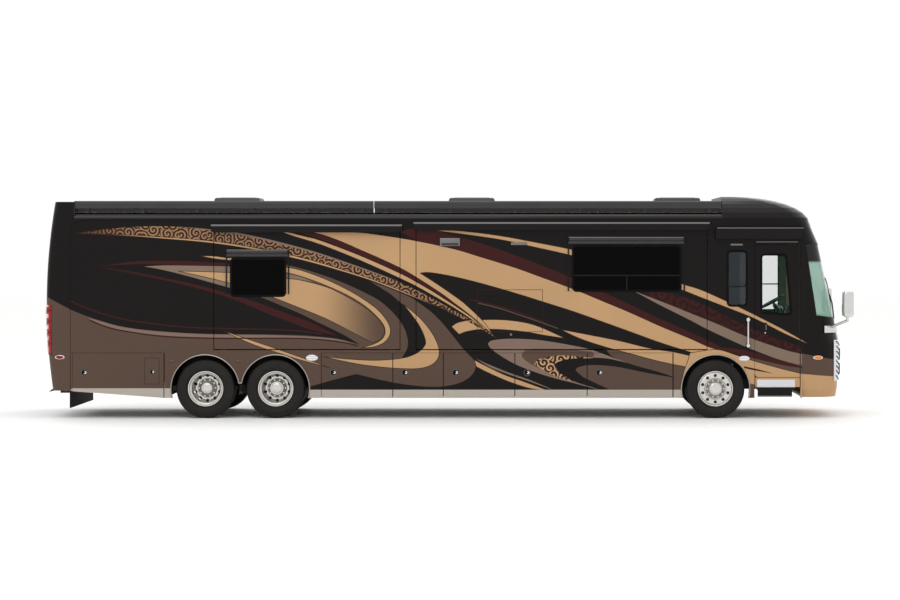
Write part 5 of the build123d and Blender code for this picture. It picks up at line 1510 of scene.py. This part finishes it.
class COACH_OT_rear(bpy.types.Operator):
    """Fit the rear plate, clearance lamps, camera, corner slots and the flap's bright frame"""
    bl_idname = "coach.rear"
    bl_label = "Rear"

    # Plate: middle height, half sizes of its frame and of the blank plate
    PLATE_Z = 1.42
    PLATE_FRAME = (0.17, 0.09)
    PLATE = (0.152, 0.075)
    # Dark backing behind the louvres: distance from the plate's face, half width, lower and upper edge
    BACKING = (0.095, 0.72, 0.62, 1.3)
    LAMPS_Y = (-1.02, -0.17, 0.0, 0.17, 1.02)
    LAMPS_Z = 3.52
    LAMP = [(-0.006, 0.036), (0.006, 0.035), (0.011, 0.024), (0.012, 0.0)]
    CAMERA_Z = 3.3
    CAMERA_LENS = [(0.04, 0.022), (0.054, 0.02), (0.054, 0.0)]
    # Corner slots: number, the highest and the step to the next in pixels of the photograph, and half size
    SLOTS = 5
    SLOT_START = (55.5, 235.5)
    SLOT_STEP = (-0.45, 4.6)
    SLOT_HALF = Vector((0.052, 0.003, 0.017))
    FLAP_BARS_Y = 0.4

    def execute(self, context):
        form = Form()
        x = from_rear("rear_cap", 0, self.PLATE_Z)[0].x
        for (y, z), back, front, finish, bevel in ((self.PLATE_FRAME, -0.012, 0.02, "black_plastic", 0.006),
                                                   (self.PLATE, -0.0155, -0.011, "kick", 0.001)):
            form.box((x + back, -y, self.PLATE_Z - z), (x + front, y, self.PLATE_Z + z), finish, bevel)
        form.done("rear_plate", "coach", "black_plastic")
        form = Form()
        inward, half, z0, z1 = self.BACKING
        form.box((x + inward, -half, z0), (x + inward + 0.01, half, z1), "black_plastic", 0.002)
        for y in self.LAMPS_Y:
            form.lathe(self.LAMP, *from_rear("rear_cap", y, self.LAMPS_Z), "lamp_red", 20)
        place, normal = from_rear("rear_cap", 0, self.CAMERA_Z)
        form.box(place + Vector((-0.05, -0.06, -0.035)), place + Vector((0.01, 0.06, 0.035)), "black_plastic", 0.012)
        form.lathe(self.CAMERA_LENS, place, normal, "tinted", 20)
        form.done("rear_lamps", "coach", "lamp_red")
        for name, side in SIDES.items():
            form = Form()
            for n in range(self.SLOTS):
                x, z = from_photo(*(at + n * step for at, step in zip(self.SLOT_START, self.SLOT_STEP)))
                place, normal = land("rear_cap", (x, side * 2, z), (0, -side, 0))
                spin = normal.to_track_quat("Y", "Z").to_matrix()
                form.box(place - self.SLOT_HALF, place + self.SLOT_HALF, "black_plastic", 0.003, spin)
            form.done(f"rear_slots_{name}", "coach", "black_plastic", 45.0)
        low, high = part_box("mud_flap")
        form = Form()
        form.box((low.x - 0.004, low.y + 0.01, low.z + 0.004), (low.x - 0.0002, high.y - 0.01, low.z + 0.05),
                 "sill", 0.001)
        for y in (low.y + 0.03, high.y - 0.03, -self.FLAP_BARS_Y, self.FLAP_BARS_Y):
            form.box((low.x - 0.006, y - 0.02, low.z + 0.05), (low.x - 0.0002, y + 0.02, high.z - 0.12),
                     "sill", 0.002)
        form.done("flap_frame", "coach", "rubber")
        return {"FINISHED"}


class COACH_OT_roof(bpy.types.Operator):
    """Fit louvres on the roof units, and the awnings' end plates and bright rail"""
    bl_idname = "coach.roof_trim"
    bl_label = "Roof"

    LOUVRES = 7
    # Shortest gap between two roof units along the vehicle
    UNIT_GAP = 1.2
    # Distance of the long awning's front end plate from the wall's front end
    AWNING_END = 1.39

    def execute(self, context):
        mesh = NODES["roof_units"].data
        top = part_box("roof_units")[1].z
        crowns = sorted((mesh.vertices[v].co.x, mesh.vertices[v].co.y) for p in mesh.polygons
                        if p.normal.z > 0.99 and p.center.z > top - 0.001 for v in p.vertices)
        form = Form()
        unit = []
        for place, after in zip(crowns, crowns[1:] + [(math.inf, 0)]):
            unit.append(place)
            if after[0] - place[0] < self.UNIT_GAP:
                continue
            low, high = (Vector((pick(p[0] for p in unit), pick(p[1] for p in unit))) for pick in (min, max))
            for n in range(self.LOUVRES):
                y = low.y + (high.y - low.y) * (n + 1) / (self.LOUVRES + 1)
                form.box((low.x + 0.06, y - 0.012, top + 0.0002), (high.x - 0.06, y + 0.012, top + 0.006),
                         "unit_dark", 0.002)
            unit = []
        form.done("unit_louvres", "coach", "unit_white")
        low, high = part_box("awnings")
        form = Form()
        for x in (low.x - 0.006, WALL_FRONT_X - self.AWNING_END):
            form.box((x, -HALF_W + 0.03, high.z - 0.128), (x + 0.012, -HALF_W + 0.195, high.z - 0.004),
                     "black_plastic", 0.004)
        x0, x1 = DOOR_AWNING_X
        form.box((x0, low.y + 0.012, DOOR_AWNING_TOP - 0.014), (x1, low.y - 0.001, DOOR_AWNING_TOP + 0.0006),
                 "dull_metal", 0.0006)
        form.done("awning_ends", "coach", "awning_grey")
        return {"FINISHED"}


class COACH_OT_cab(bpy.types.Operator):
    """Furnish the cab: padded seats on pedestals, gauges and a screen in the dash"""
    bl_idname = "coach.cab"
    bl_label = "Cab"

    PEDESTAL = [(0.0, 0.0), (0.0, 0.15), (0.02, 0.15), (0.03, 0.075), (0.27, 0.07), (0.28, 0.17), (0.298, 0.17),
                (0.298, 0.0)]
    CUSHION_RISE = 0.3
    LEAN = Matrix.Rotation(math.radians(-10.5), 3, "Y")
    # Turns a flat pad upright and leans it back
    UPRIGHT = LEAN @ Matrix.Rotation(math.radians(90), 3, "Y")
    # Pads of the seat's back before they are turned: half size and crown of the middle, the wings and the head rest
    BACK_PADS = (((0.34, 0.255, 0.065), 0.025), ((0.28, 0.055, 0.05), 0.02), ((0.28, 0.055, 0.05), 0.02),
                 ((0.09, 0.13, 0.05), 0.015))
    # Gauges: place across the vehicle, radius
    GAUGES = ((0.52, 0.06), (0.66, 0.06), (0.8, 0.04), (0.42, 0.04))
    SCREEN_Y = 0.05

    def execute(self, context):
        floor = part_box("cab_seats")[0].z
        for name, side in SIDES.items():
            points = [v.co for v in NODES["cab_seats"].data.vertices if v.co.y * side > 0]
            self.seat(name, extent(points, 0)[1], *extent(points, 1), floor)
        self.gauges()
        return {"FINISHED"}

    def seat(self, name, front, y0, y1, floor):
        y, cushion = (y0 + y1) / 2, floor + self.CUSHION_RISE
        form = Form()
        form.lathe(self.PEDESTAL, (front - 0.28, y, floor), (0, 0, 1), "black_plastic", 32)
        stand = form.done(f"seat_pedestal_{name}", "coach", "black_plastic")
        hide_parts("cab_seats")
        form = Form()
        form.pillow((front - 0.56, y0 + 0.015, cushion), (front, y1 - 0.015, cushion + 0.16), "leather", 0.03)
        for edge in (y0 + 0.075, y1 - 0.075):
            form.pillow((front - 0.5, edge - 0.06, cushion + 0.05), (front - 0.02, edge + 0.06, cushion + 0.18),
                        "leather", 0.02)
        self.pad(form, f"seat_cushion_{name}")
        form = Form()
        middle = Vector((front - 0.52, y, cushion + 0.48))
        places = (middle, middle + Vector((0.05, -0.2, -0.02)), middle + Vector((0.05, 0.2, -0.02)),
                  middle + self.LEAN @ Vector((0.0, 0, 0.35)))
        for place, (half, crown) in zip(places, self.BACK_PADS):
            form.pillow(place - Vector(half), place + Vector(half), "leather", crown, self.UPRIGHT)
        self.pad(form, f"seat_back_{name}")

    def pad(self, form, name):
        made = form.done(name, "coach", "leather", 180.0, 1)
        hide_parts("cab_seats")

    def gauges(self):
        low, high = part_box("dashboard")
        form = Form()
        for y, r in self.GAUGES:
            spot = land("dashboard", (low.x - 0.5, y, high.z - 0.14), (1, 0, 0))
            form.lathe([(-0.002, r), (0.006, r), (0.008, r * 0.93), (0.002, r * 0.88)], *spot, "chrome", 28)
            form.lathe([(0.001, r * 0.9), (0.001, 0.0)], *spot, "black_plastic", 28)
        place, _ = land("dashboard", (low.x - 0.5, self.SCREEN_Y, high.z - 0.12), (1, 0, 0))
        form.box(place + Vector((-0.012, -0.16, -0.07)), place + Vector((0.004, 0.16, 0.07)), "tinted", 0.004)
        form.done("dash_gauges", "coach", "black_plastic")


class COACH_OT_stage(bpy.types.Operator):
    """Lay the floor, hang the lights and set the camera"""
    bl_idname = "coach.stage"
    bl_label = "Stage"

    FLOOR_HALF = 90
    # Area lights: place, what they point at, size, power
    LIGHTS = (("key_light", (-6, -20, 16), (0, 0, 1.5), 14, 700), ("top_light", (2, 2, 17), (0, 0, 1), 16, 700),
              ("rim_light", (-16, 14, 9), (-2, 0, 2), 9, 400))

    def execute(self, context):
        stage = context.scene.coach_stage
        floor = Finish("studio_floor", specular=0.2)
        speck = floor.noise(3.0, 3.0)
        floor.set(base_color=floor.mix(speck, tinted(tuple(stage.floor), 0.99), tuple(stage.floor)), roughness=0.85)
        mesh = bpy.data.meshes.new("studio_floor")
        edge = self.FLOOR_HALF
        mesh.from_pydata([(-edge, -edge, 0), (edge, -edge, 0), (edge, edge, 0), (-edge, edge, 0)], [], [(0, 1, 2, 3)])
        mesh.materials.append(floor.material)
        ground = bpy.data.objects.new("studio_floor", mesh)
        context.scene.collection.objects.link(ground)
        for name, place, aim, size, power in self.LIGHTS:
            light = bpy.data.lights.new(name, "AREA")
            light.size, light.energy = size, power
            lamp = bpy.data.objects.new(name, light)
            lamp.location = place
            lamp.rotation_euler = (Vector(aim) - Vector(place)).to_track_quat("-Z", "Y").to_euler()
            context.scene.collection.objects.link(lamp)
        world = bpy.data.worlds.new("studio")
        world.use_nodes = True
        back = world.node_tree.nodes["Background"]
        back.inputs["Color"].default_value = (1, 1, 1, 1)
        back.inputs["Strength"].default_value = 1.0
        context.scene.world = world
        camera = bpy.data.cameras.new("camera")
        camera.lens, camera.sensor_width = stage.lens, 36
        camera.shift_x, camera.shift_y = stage.shift
        camera.clip_end = 500
        eye = bpy.data.objects.new("camera", camera)
        eye.location = stage.eye
        eye.rotation_euler = (math.radians(90), 0, 0)
        context.scene.collection.objects.link(eye)
        context.scene.camera = eye
        context.scene.view_settings.view_transform = "Standard"
        return {"FINISHED"}


OPERATORS = (COACH_OT_finishes, COACH_OT_stripes, COACH_OT_tyres, COACH_OT_arches, COACH_OT_liners, COACH_OT_latches,
             COACH_OT_windows, COACH_OT_entry, COACH_OT_lamps, COACH_OT_front, COACH_OT_rear, COACH_OT_roof,
             COACH_OT_cab, COACH_OT_stage)
GROUPS = {"coach_paints": COACH_PG_paints, "coach_sizes": COACH_PG_sizes, "coach_stage": COACH_PG_stage}


class COACH_PT_panel(bpy.types.Panel):
    """The motorhome's pieces and settings"""
    bl_idname = "COACH_PT_panel"
    bl_label = "Motorhome"
    bl_space_type = "VIEW_3D"
    bl_region_type = "UI"
    bl_category = "Motorhome"

    def draw(self, context):
        for operator in OPERATORS:
            self.layout.operator(operator.bl_idname)
        for name, group in GROUPS.items():
            for key in group.__annotations__:
                self.layout.prop(getattr(context.scene, name), key)


def register():
    for made in (*GROUPS.values(), *OPERATORS, COACH_PT_panel):
        bpy.utils.register_class(made)
    for name, group in GROUPS.items():
        setattr(bpy.types.Scene, name, bpy.props.PointerProperty(type=group))


def unregister():
    for name in GROUPS:
        delattr(bpy.types.Scene, name)
    for made in reversed((*GROUPS.values(), *OPERATORS, COACH_PT_panel)):
        bpy.utils.unregister_class(made)


def main():
    register()
    for operator in OPERATORS:
        group, name = operator.bl_idname.split(".")
        getattr(getattr(bpy.ops, group), name)()


if __name__ == "__main__":
    main()
